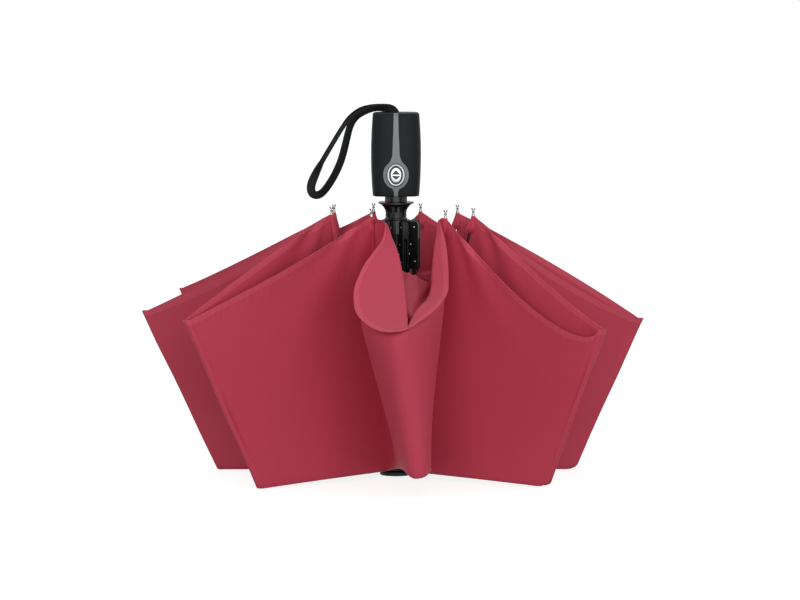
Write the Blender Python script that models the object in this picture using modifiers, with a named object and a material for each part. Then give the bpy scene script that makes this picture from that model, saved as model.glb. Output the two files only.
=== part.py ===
"""A three-fold windproof umbrella, folded loosely and standing on its top cap with the handle up.

The shaft runs along Z, the origin is on the shaft axis at the flat end of the top cap, and the
button faces -Y. Lengths are metres. Azimuths turn from +X towards +Y.
"""

import math

import bmesh
import bpy
from mathutils import Matrix, Vector

MM = 0.001
HALF_TURN = 180.0
TURN = 360.0

# Fits
GAP = 0.3 * MM
OVERRUN = 2.0 * MM
WELD = 0.002 * MM

# Shaft
TUBE_RADIUS = 6.3 * MM
TUBE_WALL = 0.55 * MM
OUTER_TUBE_REACH = 4.8 * MM
MIDDLE_TUBE_CLEARANCE = 4.0 * MM
INNER_TUBE_STAND = 1.6 * MM
NEST_STEP = 4.0 * MM
TUBE_SIDES = 20

# Opening spring inside the inner tube
SPRING_WIRE = 0.9 * MM
SPRING_PITCH = 13.0 * MM
SPRING_END = 12.0 * MM
SPRING_POINTS_PER_TURN = 8

# Top cap and crown
CAP_RADIUS = 13.0 * MM
CAP_HEIGHT = 4.0 * MM
CAP_CHAMFER = 1.2 * MM
CROWN_RADIUS = 11.6 * MM
CROWN_HEIGHT = 12.0 * MM
HINGE_RADIUS = 9.0 * MM
HINGE_HEIGHT = 12.0 * MM
HINGE_WIRE = 0.5 * MM
SLOT_WIDTH = 3.4 * MM
SLOT_FLOOR_RADIUS = 7.3 * MM
GROOVE_HALF_WIDTH = 0.8 * MM

# Ribs
RIB_WIDTH = 2.8 * MM
RIB_INNER = 9.3 * MM
RIB_OUTER = 12.5 * MM
RIB_CLEARANCE = 4.5 * MM
RIB_WALL = 0.5 * MM
RIB_EYE = 1.4 * MM
EYE_ARC = (180.0, 330.0)
RIB_SHOULDER = 6.0 * MM
KNUCKLE_LENGTH = 9.0 * MM
KNUCKLE_FLAT_SHARE = 0.6
MIDDLE_RIB_INNER = 15.0 * MM
MIDDLE_RIB_OUTER = 17.3 * MM
MIDDLE_RIB_WIDTH = 2.4 * MM
MIDDLE_RIB_FOOT = 13.5 * MM
OUTER_RIB_RADIUS = 1.0 * MM
OUTER_RIB_FOOT = 14.5 * MM
PIN_RADIUS = 0.5 * MM
PIN_HOLE = 0.8 * MM

# Tips at the hem corners
TIP_RISE = 26.0 * MM
TIP_SPREAD = 65.0 * MM
PEG_HEIGHT = 7.0 * MM
PEG_RADIUS = 1.3 * MM
PEG_WAIST = 0.85 * MM
PEG_HEAD = 2.0 * MM

# Stretchers
STRETCHER_PIVOT_HEIGHT = 87.0 * MM
STRETCHER_PIVOT_RADIUS = 10.3 * MM
STRETCHER_WIDTH = 1.2 * MM
STRETCHER_DEPTH = 1.6 * MM
STRETCHER_EYE = 1.3 * MM
LONG_EYE = 1.6 * MM
LONG_EYE_HOLE = 1.1 * MM
PIVOT_PLAY = 3.4 * MM
EYE_TAPER = 3.0 * MM

# Runner
RUNNER_WIRE_HEIGHT = 200.5 * MM
RUNNER_WIRE_RADIUS = 9.2 * MM
HUB_DROP = 6.0 * MM
HUB_RISE = 4.5 * MM
HUB_RADIUS = 11.5 * MM
HUB_SLOT_WIDTH = 1.9 * MM
HUB_SLOT_FLOOR = 7.0 * MM
COLLAR_HEIGHT = 14.0 * MM
COLLAR_WAIST = 8.25 * MM
COLLAR_FLANGE = 14.3 * MM
COLLAR_FLANGE_EDGE = 1.3 * MM
COLLAR_RING = 0.5 * MM
COLLAR_RING_HEIGHT = 1.2 * MM
FLUTE_WIDTH = 2.0 * MM
FLUTE_HEIGHT = 7.5 * MM
FLUTE_RISE = 2.6 * MM
FLUTE_FLOOR = 7.4 * MM
FLUTES = 12

# Handle
NECK_LENGTH = 4.9 * MM
HANDLE_HEIGHT = 66.6 * MM
HANDLE_HALF_WIDTH = 20.0 * MM
HANDLE_HALF_DEPTH = 14.8 * MM
HANDLE_WALL = 2.2 * MM
HANDLE_EDGE = 1.6 * MM
HANDLE_SQUARENESS = 3.4
BELLY_SHARE = 0.56
# For the handle's half width and half depth: the share at the straight top, what the bottom adds, and
# what the belly adds at BELLY_SHARE of the height.
HANDLE_SWELL = (
    (HANDLE_HALF_WIDTH, 0.892, 0.035, 0.090),
    (HANDLE_HALF_DEPTH, 0.870, 0.020, 0.115),
)
HANDLE_RING_POINTS = 36
BARREL_RADIUS = 8.9 * MM
BARREL_REACH = 9.8 * MM
BARREL_SLOT = 1.6 * MM
BARREL_SLOTS = 8
SHAFT_WALL_RISE = 29.8 * MM
SHAFT_WALL = 2.4 * MM

# Inlay and button on the front of the handle
BUTTON_RISE = 17.4 * MM
BUTTON_HALF_WIDTH = 7.2 * MM
BUTTON_HALF_HEIGHT = 9.0 * MM
BUTTON_PROUD = 1.3 * MM
BUTTON_THICKNESS = 4.0 * MM
BUTTON_TRAVEL = 2.5 * MM
BUTTON_ROUND = 0.7 * MM
BUTTON_ROUND_SHARES = ((0.0, 1.0), (0.4, 0.25), (1.0, 0.0))
BUTTON_RIM = 1.7 * MM
BUTTON_GROOVE = 0.9 * MM
BUTTON_GROOVE_DEPTH = 0.6 * MM
ARROW_HALF_WIDTH = 3.5 * MM
ARROW_HEIGHT = 3.4 * MM
ARROW_SPLIT = 0.7 * MM
ARROW_DEPTH = 0.4 * MM
INLAY_BAND = 2.5 * MM
INLAY_TOP_HALF_WIDTH = 1.8 * MM
INLAY_SHOULDER_HALF_WIDTH = 2.7 * MM
INLAY_PROUD = 0.25 * MM
INLAY_DEPTH = 0.9 * MM
SHOULDER_RISE = 2.6 * MM

# Catch plate, its spring, and the handle screw
PLATE_DROP = 1.6 * MM
PLATE_THICKNESS = 2.0 * MM
PLATE_HALF_WIDTH = 7.5 * MM
PLATE_TAIL = 7.6 * MM
CATCH_WIRE = 0.5 * MM
CATCH_COIL_RADIUS = 2.2 * MM
CATCH_TURNS = 3
CATCH_POINTS_PER_TURN = 10
SCREW_DROP = 16.8 * MM
SCREW_SHANK = 1.2 * MM
SCREW_HEAD = 2.8 * MM
SCREW_HEAD_DEPTH = 1.6 * MM
SCREW_LENGTH = 19.0 * MM
BOSS_RADIUS = 3.2 * MM
BOSS_SPLIT = 1.5 * MM

# Strap slot in the handle's top
STRAP_WIDTH = 7.0 * MM
STRAP_THICKNESS = 1.3 * MM
STRAP_EXIT_X = -0.5 * MM
STRAP_SWAY = 2.6 * MM
STRAP_FRONT_Y = 2.6 * MM
STRAP_BACK_Y = 5.6 * MM
STRAP_POST_RADIUS = 1.2 * MM
STRAP_POST_DROP = 10.3 * MM

# Canopy
CLOTH = 0.8 * MM
HEM_REACH = 218.0 * MM
FOLD_REACH = 150.0 * MM
FOLD_LIFT = 0.6 * MM
CREASE_RADIUS = 4.0 * MM
SEAM_HALF_GAP = 0.8 * MM
SAG = 22.0 * MM
INNER_FOLD_DROP = 30.0 * MM
INNER_FOLD_BOTTOM = 20.0 * MM
INNER_FOLD_VALLEY = 13.75 * MM
INNER_FOLD_LOBE = 24.0 * MM
FRONT_LOBE_SHARE = 1.9
LOBE_FOOT_SHARE = 0.75

# Each rib: name, its azimuth at the crown, its tip's azimuth, and its tip's reach in shares of TIP_SPREAD.
RIBS = (
    ("right", 22.5, 13.7, 0.780),
    ("right_back", 67.5, 51.8, 0.490),
    ("left_back", 112.5, 123.8, 0.500),
    ("left", 157.5, 162.2, 0.803),
    ("left_front", 202.5, 188.8, 0.801),
    ("front_left", 247.5, 234.2, 0.512),
    ("front_right", 292.5, 311.1, 0.918),
    ("right_front", 337.5, 341.2, 1.000),
)

# Each pleat lies between a rib and the next one round: its name, the azimuth of its hem corner, that
# corner's reach in shares of HEM_REACH and height in shares of TIP_TOP, the azimuth of its bottom
# corner and that corner's reach in shares of FOLD_REACH, and the hem's sag on its two sides in shares
# of SAG, first beside the first rib.
PLEATS = (
    ("right_back", 41.2, 0.970, 0.580, 40.8, 0.970, 0.20, 0.20),
    ("back", 88.6, 0.915, 0.610, 88.8, 0.935, 0.30, 0.30),
    ("left_back", 144.5, 1.000, 0.643, 142.7, 0.990, 0.20, 0.10),
    ("left", 166.2, 0.968, 0.590, 166.3, 0.990, 0.10, 0.25),
    ("left_front", 221.0, 0.998, 0.637, 221.6, 0.970, -0.35, 0.10),
    None,
    ("right_front", 320.4, 0.970, 0.600, 324.5, 1.000, 1.00, 0.15),
    ("right", 14.0, 0.945, 0.562, 13.8, 1.010, 0.35, -0.15),
)

# The wide front funnel: points of its hem and of its bottom edge as an azimuth, a reach in shares of
# HEM_REACH or FOLD_REACH, and a height in shares of TIP_TOP.
FUNNEL_HEM = (
    (259.4, 0.210, 0.955),
    (256.5, 0.345, 0.830),
    (253.3, 0.527, 0.716),
    (257.5, 0.715, 0.640),
    (264.0, 0.822, 0.615),
    (270.4, 0.849, 0.612),
    (277.5, 0.800, 0.625),
    (284.5, 0.690, 0.675),
    (290.6, 0.539, 0.764),
    (297.5, 0.400, 0.870),
)
FUNNEL_FOLD = (
    (264.0, 0.300, 0.003),
    (268.0, 0.500, 0.010),
    (270.0, 0.700, 0.030),
    (270.8, 0.880, 0.060),
    (272.6, 0.975, 0.080),
    (275.6, 1.000, 0.090),
    (278.6, 0.985, 0.080),
    (280.6, 0.890, 0.060),
    (281.6, 0.700, 0.030),
    (281.0, 0.400, 0.008),
)
GORE_ROWS = 5
HALF_POINTS = 5
ARC_POINTS = 5
FUNNEL_POINT_COUNT = 25

# The strap's route in millimetres, its heights counted from the handle's top: the middle line of the
# webbing from inside the handle, round the loop and back.
STRAP_ROUTE = (
    (-0.5, 2.6, -7.4), (-0.5, 2.6, -4.3), (-1.0, 2.6, -0.4), (-4.0, 2.6, 3.1), (-10.0, 2.6, 4.4),
    (-18.0, 2.4, 4.0), (-26.0, 2.0, 0.6), (-32.2, 1.4, -4.2), (-36.4, 0.9, -10.8), (-39.0, 0.4, -19.8),
    (-41.4, 0.0, -29.8), (-44.4, 0.0, -39.8), (-48.6, 0.4, -49.2), (-53.4, 1.0, -57.4), (-58.6, 1.8, -64.0),
    (-63.4, 2.6, -66.4), (-67.2, 3.4, -64.4), (-67.8, 4.2, -59.0), (-65.4, 4.8, -52.0), (-61.2, 5.2, -43.4),
    (-55.8, 5.5, -34.0), (-50.0, 5.8, -24.2), (-43.8, 6.0, -14.0), (-37.0, 6.0, -4.8), (-28.4, 5.9, 1.8),
    (-18.6, 5.7, 4.8), (-10.0, 5.6, 4.8), (-4.0, 5.6, 3.1), (-1.0, 5.6, -0.4), (-0.5, 5.6, -4.3),
    (-0.5, 5.6, -7.4),
)

COLOURS = {
    "cloth": ((0.43, 0.055, 0.090), 0.62, 0.0),
    "black plastic": ((0.012, 0.013, 0.014), 0.35, 0.0),
    "soft-touch black": ((0.026, 0.031, 0.034), 0.55, 0.0),
    "grey plastic": ((0.160, 0.168, 0.174), 0.40, 0.0),
    "chrome": ((0.75, 0.76, 0.78), 0.12, 1.0),
    "black steel": ((0.020, 0.022, 0.024), 0.35, 0.6),
    "bright steel": ((0.55, 0.56, 0.58), 0.28, 1.0),
    "webbing": ((0.010, 0.011, 0.012), 0.80, 0.0),
}


def empty_scene():
    for leftover in list(bpy.data.objects):
        bpy.data.objects.remove(leftover, do_unlink=True)


def collection(name):
    group = bpy.data.collections.new(name)
    bpy.context.scene.collection.children.link(group)
    return group


def material(name):
    colour, roughness, metallic = COLOURS[name]
    made = bpy.data.materials.get(name) or bpy.data.materials.new(name)
    made.use_nodes = True
    shader = made.node_tree.nodes["Principled BSDF"]
    shader.inputs["Base Color"].default_value = (*colour, 1.0)
    shader.inputs["Roughness"].default_value = roughness
    shader.inputs["Metallic"].default_value = metallic
    return made


def as_object(name, data):
    made = bpy.data.objects.new(name, data)
    PARTS.objects.link(made)
    return made


def as_mesh(source):
    """Turns a curve, or an object with modifiers, into a welded mesh object of the same name."""
    bpy.context.view_layer.update()
    graph = bpy.context.evaluated_depsgraph_get()
    data = bpy.data.meshes.new_from_object(source.evaluated_get(graph))
    build = bmesh.new()
    build.from_mesh(data)
    bmesh.ops.remove_doubles(build, verts=build.verts, dist=WELD)
    build.to_mesh(data)
    build.free()
    name = source.name
    place = source.matrix_world.copy()
    bpy.data.objects.remove(source, do_unlink=True)
    made = as_object(name, data)
    made.matrix_world = place
    return made


def apply_place(thing):
    thing.data.transform(thing.matrix_world)
    thing.matrix_world = Matrix.Identity(4)
    return thing


def combine(body, tool, operation="DIFFERENCE"):
    """Cuts, joins or intersects the body with a tool, which is used up."""
    step = body.modifiers.new("combine", "BOOLEAN")
    step.operation = operation
    step.object = tool
    done = as_mesh(body)
    bpy.data.objects.remove(tool, do_unlink=True)
    return done


def outline_solid(name, outlines, half_thickness, upright=True):
    """A flat outline, with holes where outlines nest, thickened; upright stands it in the XZ plane."""
    data = bpy.data.curves.new(name, "CURVE")
    data.dimensions = "2D"
    data.fill_mode = "BOTH"
    data.extrude = half_thickness
    for points in outlines:
        line = data.splines.new("POLY")
        line.points.add(len(points) - 1)
        for place, (across, along) in zip(line.points, points):
            place.co = (across, along, 0.0, 1.0)
        line.use_cyclic_u = True
    flat = as_object(name, data)
    if upright:
        flat.rotation_euler = (math.radians(90.0), 0.0, 0.0)
    return apply_place(as_mesh(flat))


def turned(name, profile, sides=TUBE_SIDES):
    """A closed profile of radius and height, listed down its outer side, turned about Z."""
    build = bmesh.new()
    corners = [build.verts.new((radius, 0.0, height)) for radius, height in profile]
    for first, second in zip(corners, corners[1:] + corners[:1]):
        build.edges.new((first, second))
    data = bpy.data.meshes.new(name)
    build.to_mesh(data)
    build.free()
    part = as_object(name, data)
    turn = part.modifiers.new("turn", "SCREW")
    turn.steps = sides
    turn.render_steps = sides
    turn.use_merge_vertices = True
    turn.merge_threshold = WELD
    done = as_mesh(part)
    build = bmesh.new()
    build.from_mesh(done.data)
    bmesh.ops.recalc_face_normals(build, faces=build.faces)
    build.to_mesh(done.data)
    build.free()
    return done


def block(name, low, high):
    bpy.ops.mesh.primitive_cube_add(size=1.0)
    part = bpy.context.object
    part.name = name
    part.scale = [b - a for a, b in zip(low, high)]
    part.location = [(a + b) / 2 for a, b in zip(low, high)]
    bpy.context.view_layer.update()
    return apply_place(part)


def rod(name, start, end, radius, sides=12):
    """A cylinder between two points."""
    bpy.ops.mesh.primitive_cylinder_add(vertices=sides, radius=1.0, depth=1.0)
    part = bpy.context.object
    part.name = name
    line = Vector(end) - Vector(start)
    part.scale = (radius, radius, line.length)
    part.rotation_mode = "QUATERNION"
    part.rotation_quaternion = line.to_track_quat("Z", "Y")
    part.location = (Vector(start) + Vector(end)) / 2
    bpy.context.view_layer.update()
    return apply_place(part)


def wire(name, points, radii, resolution=1, closed=False):
    """A round wire along points, with one radius or a radius for each point."""
    data = bpy.data.curves.new(name, "CURVE")
    data.dimensions = "3D"
    data.bevel_depth = 1.0
    data.bevel_resolution = resolution
    data.use_fill_caps = not closed
    line = data.splines.new("POLY")
    line.points.add(len(points) - 1)
    if not isinstance(radii, (list, tuple)):
        radii = [radii] * len(points)
    for place, point, radius in zip(line.points, points, radii):
        place.co = (*point, 1.0)
        place.radius = radius
    line.use_cyclic_u = closed
    return as_mesh(as_object(name, data))


def loft(name, rings):
    """A solid through closed rings of equal counts, with flat ends."""
    build = bmesh.new()
    rows = [[build.verts.new(point) for point in ring] for ring in rings]
    count = len(rows[0])
    for lower, upper in zip(rows, rows[1:]):
        for i in range(count):
            j = (i + 1) % count
            build.faces.new((lower[i], lower[j], upper[j], upper[i]))
    build.faces.new(list(reversed(rows[0])))
    build.faces.new(rows[-1])
    bmesh.ops.recalc_face_normals(build, faces=build.faces)
    data = bpy.data.meshes.new(name)
    build.to_mesh(data)
    build.free()
    return as_object(name, data)


def sheet(name, rows, thickness):
    """An open grid of points thickened evenly to both sides."""
    build = bmesh.new()
    grid = [[build.verts.new(point) for point in row] for row in rows]
    for lower, upper in zip(grid, grid[1:]):
        for i in range(len(lower) - 1):
            build.faces.new((lower[i], lower[i + 1], upper[i + 1], upper[i]))
    data = bpy.data.meshes.new(name)
    build.to_mesh(data)
    build.free()
    part = as_object(name, data)
    skin = part.modifiers.new("skin", "SOLIDIFY")
    skin.thickness = thickness
    skin.offset = 0.0
    return as_mesh(part)


def finish(part, look, parent=None, smooth=True):
    """Gives the part its material and hangs it on its joint's empty without moving it."""
    part.data.materials.clear()
    part.data.materials.append(material(look))
    if smooth:
        part.data.shade_smooth()
        part.data.set_sharp_from_angle(angle=math.radians(35.0))
    if parent:
        bpy.context.view_layer.update()
        part.parent = parent
        part.matrix_parent_inverse = parent.matrix_world.inverted()
    return part


def pivot(name, place, azimuth=0.0, parent=None):
    """An empty on a joint's axis."""
    made = as_object(name, None)
    made.empty_display_size = HINGE_RADIUS
    made.location = place
    made.rotation_euler = (0.0, 0.0, azimuth)
    bpy.context.view_layer.update()
    if parent:
        made.parent = parent
        made.matrix_parent_inverse = parent.matrix_world.inverted()
        bpy.context.view_layer.update()
    return made


def circle(centre, radius, count):
    turn = 2.0 * math.pi / count
    return [
        (centre[0] + radius * math.cos(turn * i), centre[1] + radius * math.sin(turn * i))
        for i in range(count)
    ]


def arc(centre, radius, start, end, count):
    """Points on an arc between two angles in degrees, both ends included."""
    angles = [math.radians(start + (end - start) * i / (count - 1)) for i in range(count)]
    return [(centre[0] + radius * math.cos(a), centre[1] + radius * math.sin(a)) for a in angles]


def polar(azimuth, reach, height):
    angle = math.radians(azimuth)
    return Vector((reach * math.cos(angle), reach * math.sin(angle), height))


def curve_through(points, count):
    """Even steps along a smooth curve that passes through the points."""
    padded = [points[0] * 2 - points[1], *points, points[-1] * 2 - points[-2]]
    fine = []
    steps = 8
    for a, b, c, d in zip(padded, padded[1:], padded[2:], padded[3:]):
        for i in range(steps):
            t = i / steps
            fine.append(0.5 * (2 * b + (c - a) * t + (2 * a - 5 * b + 4 * c - d) * t**2
                               + (3 * b - 3 * c + d - a) * t**3))
    fine.append(points[-1])
    lengths = [0.0]
    for a, b in zip(fine, fine[1:]):
        lengths.append(lengths[-1] + (b - a).length)
    found = []
    at = 0
    for k in range(count):
        want = lengths[-1] * k / (count - 1)
        while at < len(lengths) - 2 and lengths[at + 1] < want:
            at += 1
        share = (want - lengths[at]) / max(lengths[at + 1] - lengths[at], WELD)
        found.append(fine[at].lerp(fine[at + 1], min(share, 1.0)))
    return found


def tube(name, radius, foot, top):
    bore = radius - TUBE_WALL
    return turned(name, [(radius, top), (radius, foot), (bore, foot), (bore, top)])


def slots(body, count, first_azimuth, width, low_radius, low, high, high_radius):
    """Cuts radial slots with parallel sides."""
    for k in range(count):
        tool = block("slot", (low_radius, -width / 2, low), (high_radius, width / 2, high))
        tool.rotation_euler = (0.0, 0.0, math.radians(first_azimuth + 360.0 * k / count))
        bpy.context.view_layer.update()
        body = combine(body, tool)
    return body


# Sizes that follow from the ones above
HUB_BOTTOM = RUNNER_WIRE_HEIGHT - HUB_DROP
HUB_TOP = RUNNER_WIRE_HEIGHT + HUB_RISE
COLLAR_TOP = HUB_TOP + GAP + COLLAR_HEIGHT
HANDLE_BOTTOM = COLLAR_TOP + NECK_LENGTH
HANDLE_TOP = HANDLE_BOTTOM + HANDLE_HEIGHT
BARREL_TOP = HANDLE_BOTTOM + BARREL_REACH
SHAFT_WALL_HEIGHT = HANDLE_BOTTOM + SHAFT_WALL_RISE
BUTTON_HEIGHT = HANDLE_BOTTOM + BUTTON_RISE
PLATE_HEIGHT = BUTTON_HEIGHT - PLATE_DROP
SCREW_HEIGHT = HANDLE_TOP - SCREW_DROP
STRAP_POST_HEIGHT = HANDLE_TOP - STRAP_POST_DROP
OUTER_TUBE_TOP = HANDLE_BOTTOM + OUTER_TUBE_REACH
MIDDLE_TUBE_TOP = PLATE_HEIGHT - MIDDLE_TUBE_CLEARANCE
INNER_TUBE_TOP = SHAFT_WALL_HEIGHT + SHAFT_WALL + INNER_TUBE_STAND
RIB_TOP = HUB_BOTTOM - RIB_CLEARANCE
TIP_TOP = RIB_TOP + TIP_RISE
CLOTH_CORNER = TIP_TOP - PEG_HEIGHT
INNER_FOLD_TOP = RIB_TOP - INNER_FOLD_DROP
BORE = TUBE_RADIUS + GAP
MIDDLE_TUBE_RADIUS = TUBE_RADIUS - TUBE_WALL - GAP
INNER_TUBE_RADIUS = MIDDLE_TUBE_RADIUS - TUBE_WALL - GAP
CROWN_BOTTOM = CAP_HEIGHT + GAP
CROWN_TOP = CROWN_BOTTOM + CROWN_HEIGHT
HINGE = Vector((HINGE_RADIUS, 0.0, HINGE_HEIGHT))


def make_shaft(root, middle, handle):
    foot = CAP_HEIGHT + GAP
    outer = tube("outer_tube", TUBE_RADIUS, foot, OUTER_TUBE_TOP)
    finish(outer, "black steel", root)
    finish(tube("middle_tube", MIDDLE_TUBE_RADIUS, foot + NEST_STEP, MIDDLE_TUBE_TOP), "black steel", middle)
    finish(tube("inner_tube", INNER_TUBE_RADIUS, foot + 2 * NEST_STEP, INNER_TUBE_TOP), "black steel", handle)
    coil_radius = INNER_TUBE_RADIUS - TUBE_WALL - GAP - SPRING_WIRE / 2
    start = foot + GAP
    turns = (INNER_TUBE_TOP - SPRING_END - start) / SPRING_PITCH
    count = int(turns * SPRING_POINTS_PER_TURN)
    points = []
    for i in range(count + 1):
        angle = 2.0 * math.pi * i / SPRING_POINTS_PER_TURN
        height = start + SPRING_WIRE + (INNER_TUBE_TOP - SPRING_END - start) * i / count
        points.append((coil_radius * math.cos(angle), coil_radius * math.sin(angle), height))
    finish(wire("opening_spring", points, SPRING_WIRE / 2, 0), "bright steel", root)


def make_crown(root):
    cap = turned("top_cap", [
        (0.0, CAP_HEIGHT), (CAP_RADIUS - CAP_CHAMFER, CAP_HEIGHT), (CAP_RADIUS, CAP_HEIGHT - CAP_CHAMFER),
        (CAP_RADIUS, CAP_CHAMFER / 2), (CAP_RADIUS - CAP_CHAMFER / 2, 0.0), (0.0, 0.0),
    ], 32)
    finish(cap, "black plastic", root)
    groove_floor = HINGE_HEIGHT - HINGE_WIRE - GAP
    crown = turned("crown", [
        (HINGE_RADIUS - GROOVE_HALF_WIDTH, CROWN_TOP), (HINGE_RADIUS - GROOVE_HALF_WIDTH, groove_floor),
        (HINGE_RADIUS + GROOVE_HALF_WIDTH, groove_floor), (HINGE_RADIUS + GROOVE_HALF_WIDTH, CROWN_TOP),
        (CROWN_RADIUS, CROWN_TOP), (CROWN_RADIUS, CROWN_BOTTOM), (BORE, CROWN_BOTTOM), (BORE, CROWN_TOP),
    ], 32)
    crown = slots(crown, len(RIBS), RIBS[0][1], SLOT_WIDTH, SLOT_FLOOR_RADIUS,
                  CROWN_BOTTOM + GAP, CROWN_TOP + OVERRUN, CROWN_RADIUS + OVERRUN)
    finish(crown, "black plastic", root)
    ring = [(x, y, HINGE_HEIGHT) for x, y in circle((0.0, 0.0), HINGE_RADIUS, 32)]
    finish(wire("crown_wire", ring, HINGE_WIRE, 1, closed=True), "bright steel", root)


def main_rib_mesh():
    """The inner link of a rib: an eye in the crown, a channel open towards the shaft, and a knuckle on top."""
    eye = (HINGE_RADIUS, HINGE_HEIGHT)
    shoulder = HINGE_HEIGHT + RIB_SHOULDER
    knuckle = MIDDLE_RIB_INNER - GAP
    outline = arc(eye, RIB_EYE, *EYE_ARC, 6)
    outline += [
        (RIB_OUTER, shoulder), (RIB_OUTER, RIB_TOP - KNUCKLE_LENGTH), (knuckle, RIB_TOP - KNUCKLE_LENGTH * KNUCKLE_FLAT_SHARE),
        (knuckle, RIB_TOP - RIB_WALL), (RIB_OUTER, RIB_TOP), (RIB_INNER, RIB_TOP), (RIB_INNER, shoulder),
        (HINGE_RADIUS - RIB_EYE, HINGE_HEIGHT + RIB_EYE),
    ]
    rib = outline_solid("main_rib", [outline, circle(eye, PIN_HOLE, 8)], RIB_WIDTH / 2)
    floor_radius = RIB_OUTER - RIB_WALL
    half = RIB_WIDTH / 2 - RIB_WALL
    channel = block("channel", (RIB_INNER - OVERRUN, -half, shoulder + RIB_SHOULDER),
                    (floor_radius, half, RIB_TOP + OVERRUN))
    rib = combine(rib, channel)
    pin_place = (STRETCHER_PIVOT_RADIUS, STRETCHER_PIVOT_HEIGHT)
    side = RIB_WIDTH / 2 + RIB_WALL / 2
    pin = rod("pin", (pin_place[0], -side, pin_place[1]), (pin_place[0], side, pin_place[1]), PIN_RADIUS, 8)
    return combine(rib, pin, "UNION")


def middle_rib_mesh():
    """The link folded back outside the main rib, with an ear at its foot for the outer rib."""
    length_chamfer = RIB_WALL * 2
    ear = MIDDLE_RIB_OUTER + GAP / 2
    outline = [
        (MIDDLE_RIB_INNER, MIDDLE_RIB_FOOT + length_chamfer), (MIDDLE_RIB_INNER + length_chamfer, MIDDLE_RIB_FOOT),
        (ear, MIDDLE_RIB_FOOT), (ear, MIDDLE_RIB_FOOT + KNUCKLE_LENGTH / 2),
        (MIDDLE_RIB_OUTER, MIDDLE_RIB_FOOT + KNUCKLE_LENGTH),
        (MIDDLE_RIB_OUTER, RIB_TOP - length_chamfer), (MIDDLE_RIB_OUTER - length_chamfer, RIB_TOP),
        (MIDDLE_RIB_INNER, RIB_TOP),
    ]
    rib = outline_solid("middle_rib", [outline], MIDDLE_RIB_WIDTH / 2)
    half = MIDDLE_RIB_WIDTH / 2 - RIB_WALL
    channel = block("channel", (MIDDLE_RIB_INNER + RIB_WALL, -half, MIDDLE_RIB_FOOT + KNUCKLE_LENGTH),
                    (MIDDLE_RIB_OUTER + OVERRUN, half, RIB_TOP - length_chamfer))
    return combine(rib, channel)


def stretcher_mesh():
    """The strut from the runner to the main rib; its upper eye is a long one, the open pivot's play."""
    low = Vector((STRETCHER_PIVOT_RADIUS, STRETCHER_PIVOT_HEIGHT))
    high = Vector((RUNNER_WIRE_RADIUS, RUNNER_WIRE_HEIGHT))
    run = (high - low).normalized()
    side = Vector((run.y, -run.x))
    tilt = math.degrees(math.atan2(run.y, run.x))
    half = STRETCHER_DEPTH / 2
    play_end = high - run * PIVOT_PLAY

    def at(distance, offset):
        place = low + run * distance + side * offset
        return (place.x, place.y)

    length = (high - low).length
    outline = arc(low, STRETCHER_EYE, tilt + 120.0, tilt + 240.0, 6)
    outline += [at(EYE_TAPER, half), at(length - PIVOT_PLAY - EYE_TAPER, half), at(length - PIVOT_PLAY, LONG_EYE)]
    outline += arc(high, LONG_EYE, tilt - 90.0, tilt + 90.0, 7)
    outline += [at(length - PIVOT_PLAY, -LONG_EYE), at(length - PIVOT_PLAY - EYE_TAPER, -half),
                at(EYE_TAPER, -half)]
    hole = arc(high, LONG_EYE_HOLE, tilt - 90.0, tilt + 90.0, 5)
    hole += arc(play_end, LONG_EYE_HOLE, tilt + 90.0, tilt + 270.0, 5)
    return outline_solid("stretcher", [outline, circle(low, PIN_HOLE, 8), hole], STRETCHER_WIDTH / 2)


def outer_rib(name, azimuth, tip_azimuth, tip_reach):
    """The outer rib: a rod from the middle rib's foot out to its peg at the hem corner."""
    foot = polar(azimuth, MIDDLE_RIB_OUTER + GAP * 1.5 + OUTER_RIB_RADIUS, OUTER_RIB_FOOT)
    peg = polar(tip_azimuth, tip_reach, TIP_TOP - PEG_HEIGHT)
    up = Vector((0.0, 0.0, 1.0))
    below = foot.lerp(peg, 1.0 - PEG_HEIGHT / (peg - foot).length)
    shares = ((0.10, PEG_RADIUS), (0.55, PEG_RADIUS), (0.62, PEG_WAIST), (0.85, PEG_WAIST), (1.0, PEG_HEAD))
    points = [foot, below] + [peg + up * PEG_HEIGHT * share for share, _ in shares]
    radii = [OUTER_RIB_RADIUS, OUTER_RIB_RADIUS] + [radius for _, radius in shares]
    return wire(name, points, radii, 1)


def make_ribs(root):
    main = main_rib_mesh()
    middle = middle_rib_mesh()
    stretcher = stretcher_mesh()
    for name, azimuth, tip_azimuth, reach_share in RIBS:
        turn = math.radians(azimuth)
        round_z = Matrix.Rotation(turn, 4, "Z")
        hinge = pivot(f"rib_{name}_hinge", round_z @ HINGE, turn, root)
        knee = Vector((STRETCHER_PIVOT_RADIUS, 0.0, STRETCHER_PIVOT_HEIGHT))
        knee_hinge = pivot(f"stretcher_{name}_hinge", round_z @ knee, turn, hinge)
        for kind, source, parent, look in (
            ("main_rib", main, hinge, "black steel"),
            ("middle_rib", middle, hinge, "black steel"),
            ("stretcher", stretcher, knee_hinge, "black steel"),
        ):
            copy = as_object(f"{kind}_{name}", source.data.copy())
            copy.matrix_world = round_z
            finish(copy, look, parent, smooth=False)
        rib = outer_rib(f"outer_rib_{name}", azimuth, tip_azimuth, reach_share * TIP_SPREAD)
        finish(rib, "bright steel", hinge)
    for source in (main, middle, stretcher):
        bpy.data.objects.remove(source, do_unlink=True)


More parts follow.
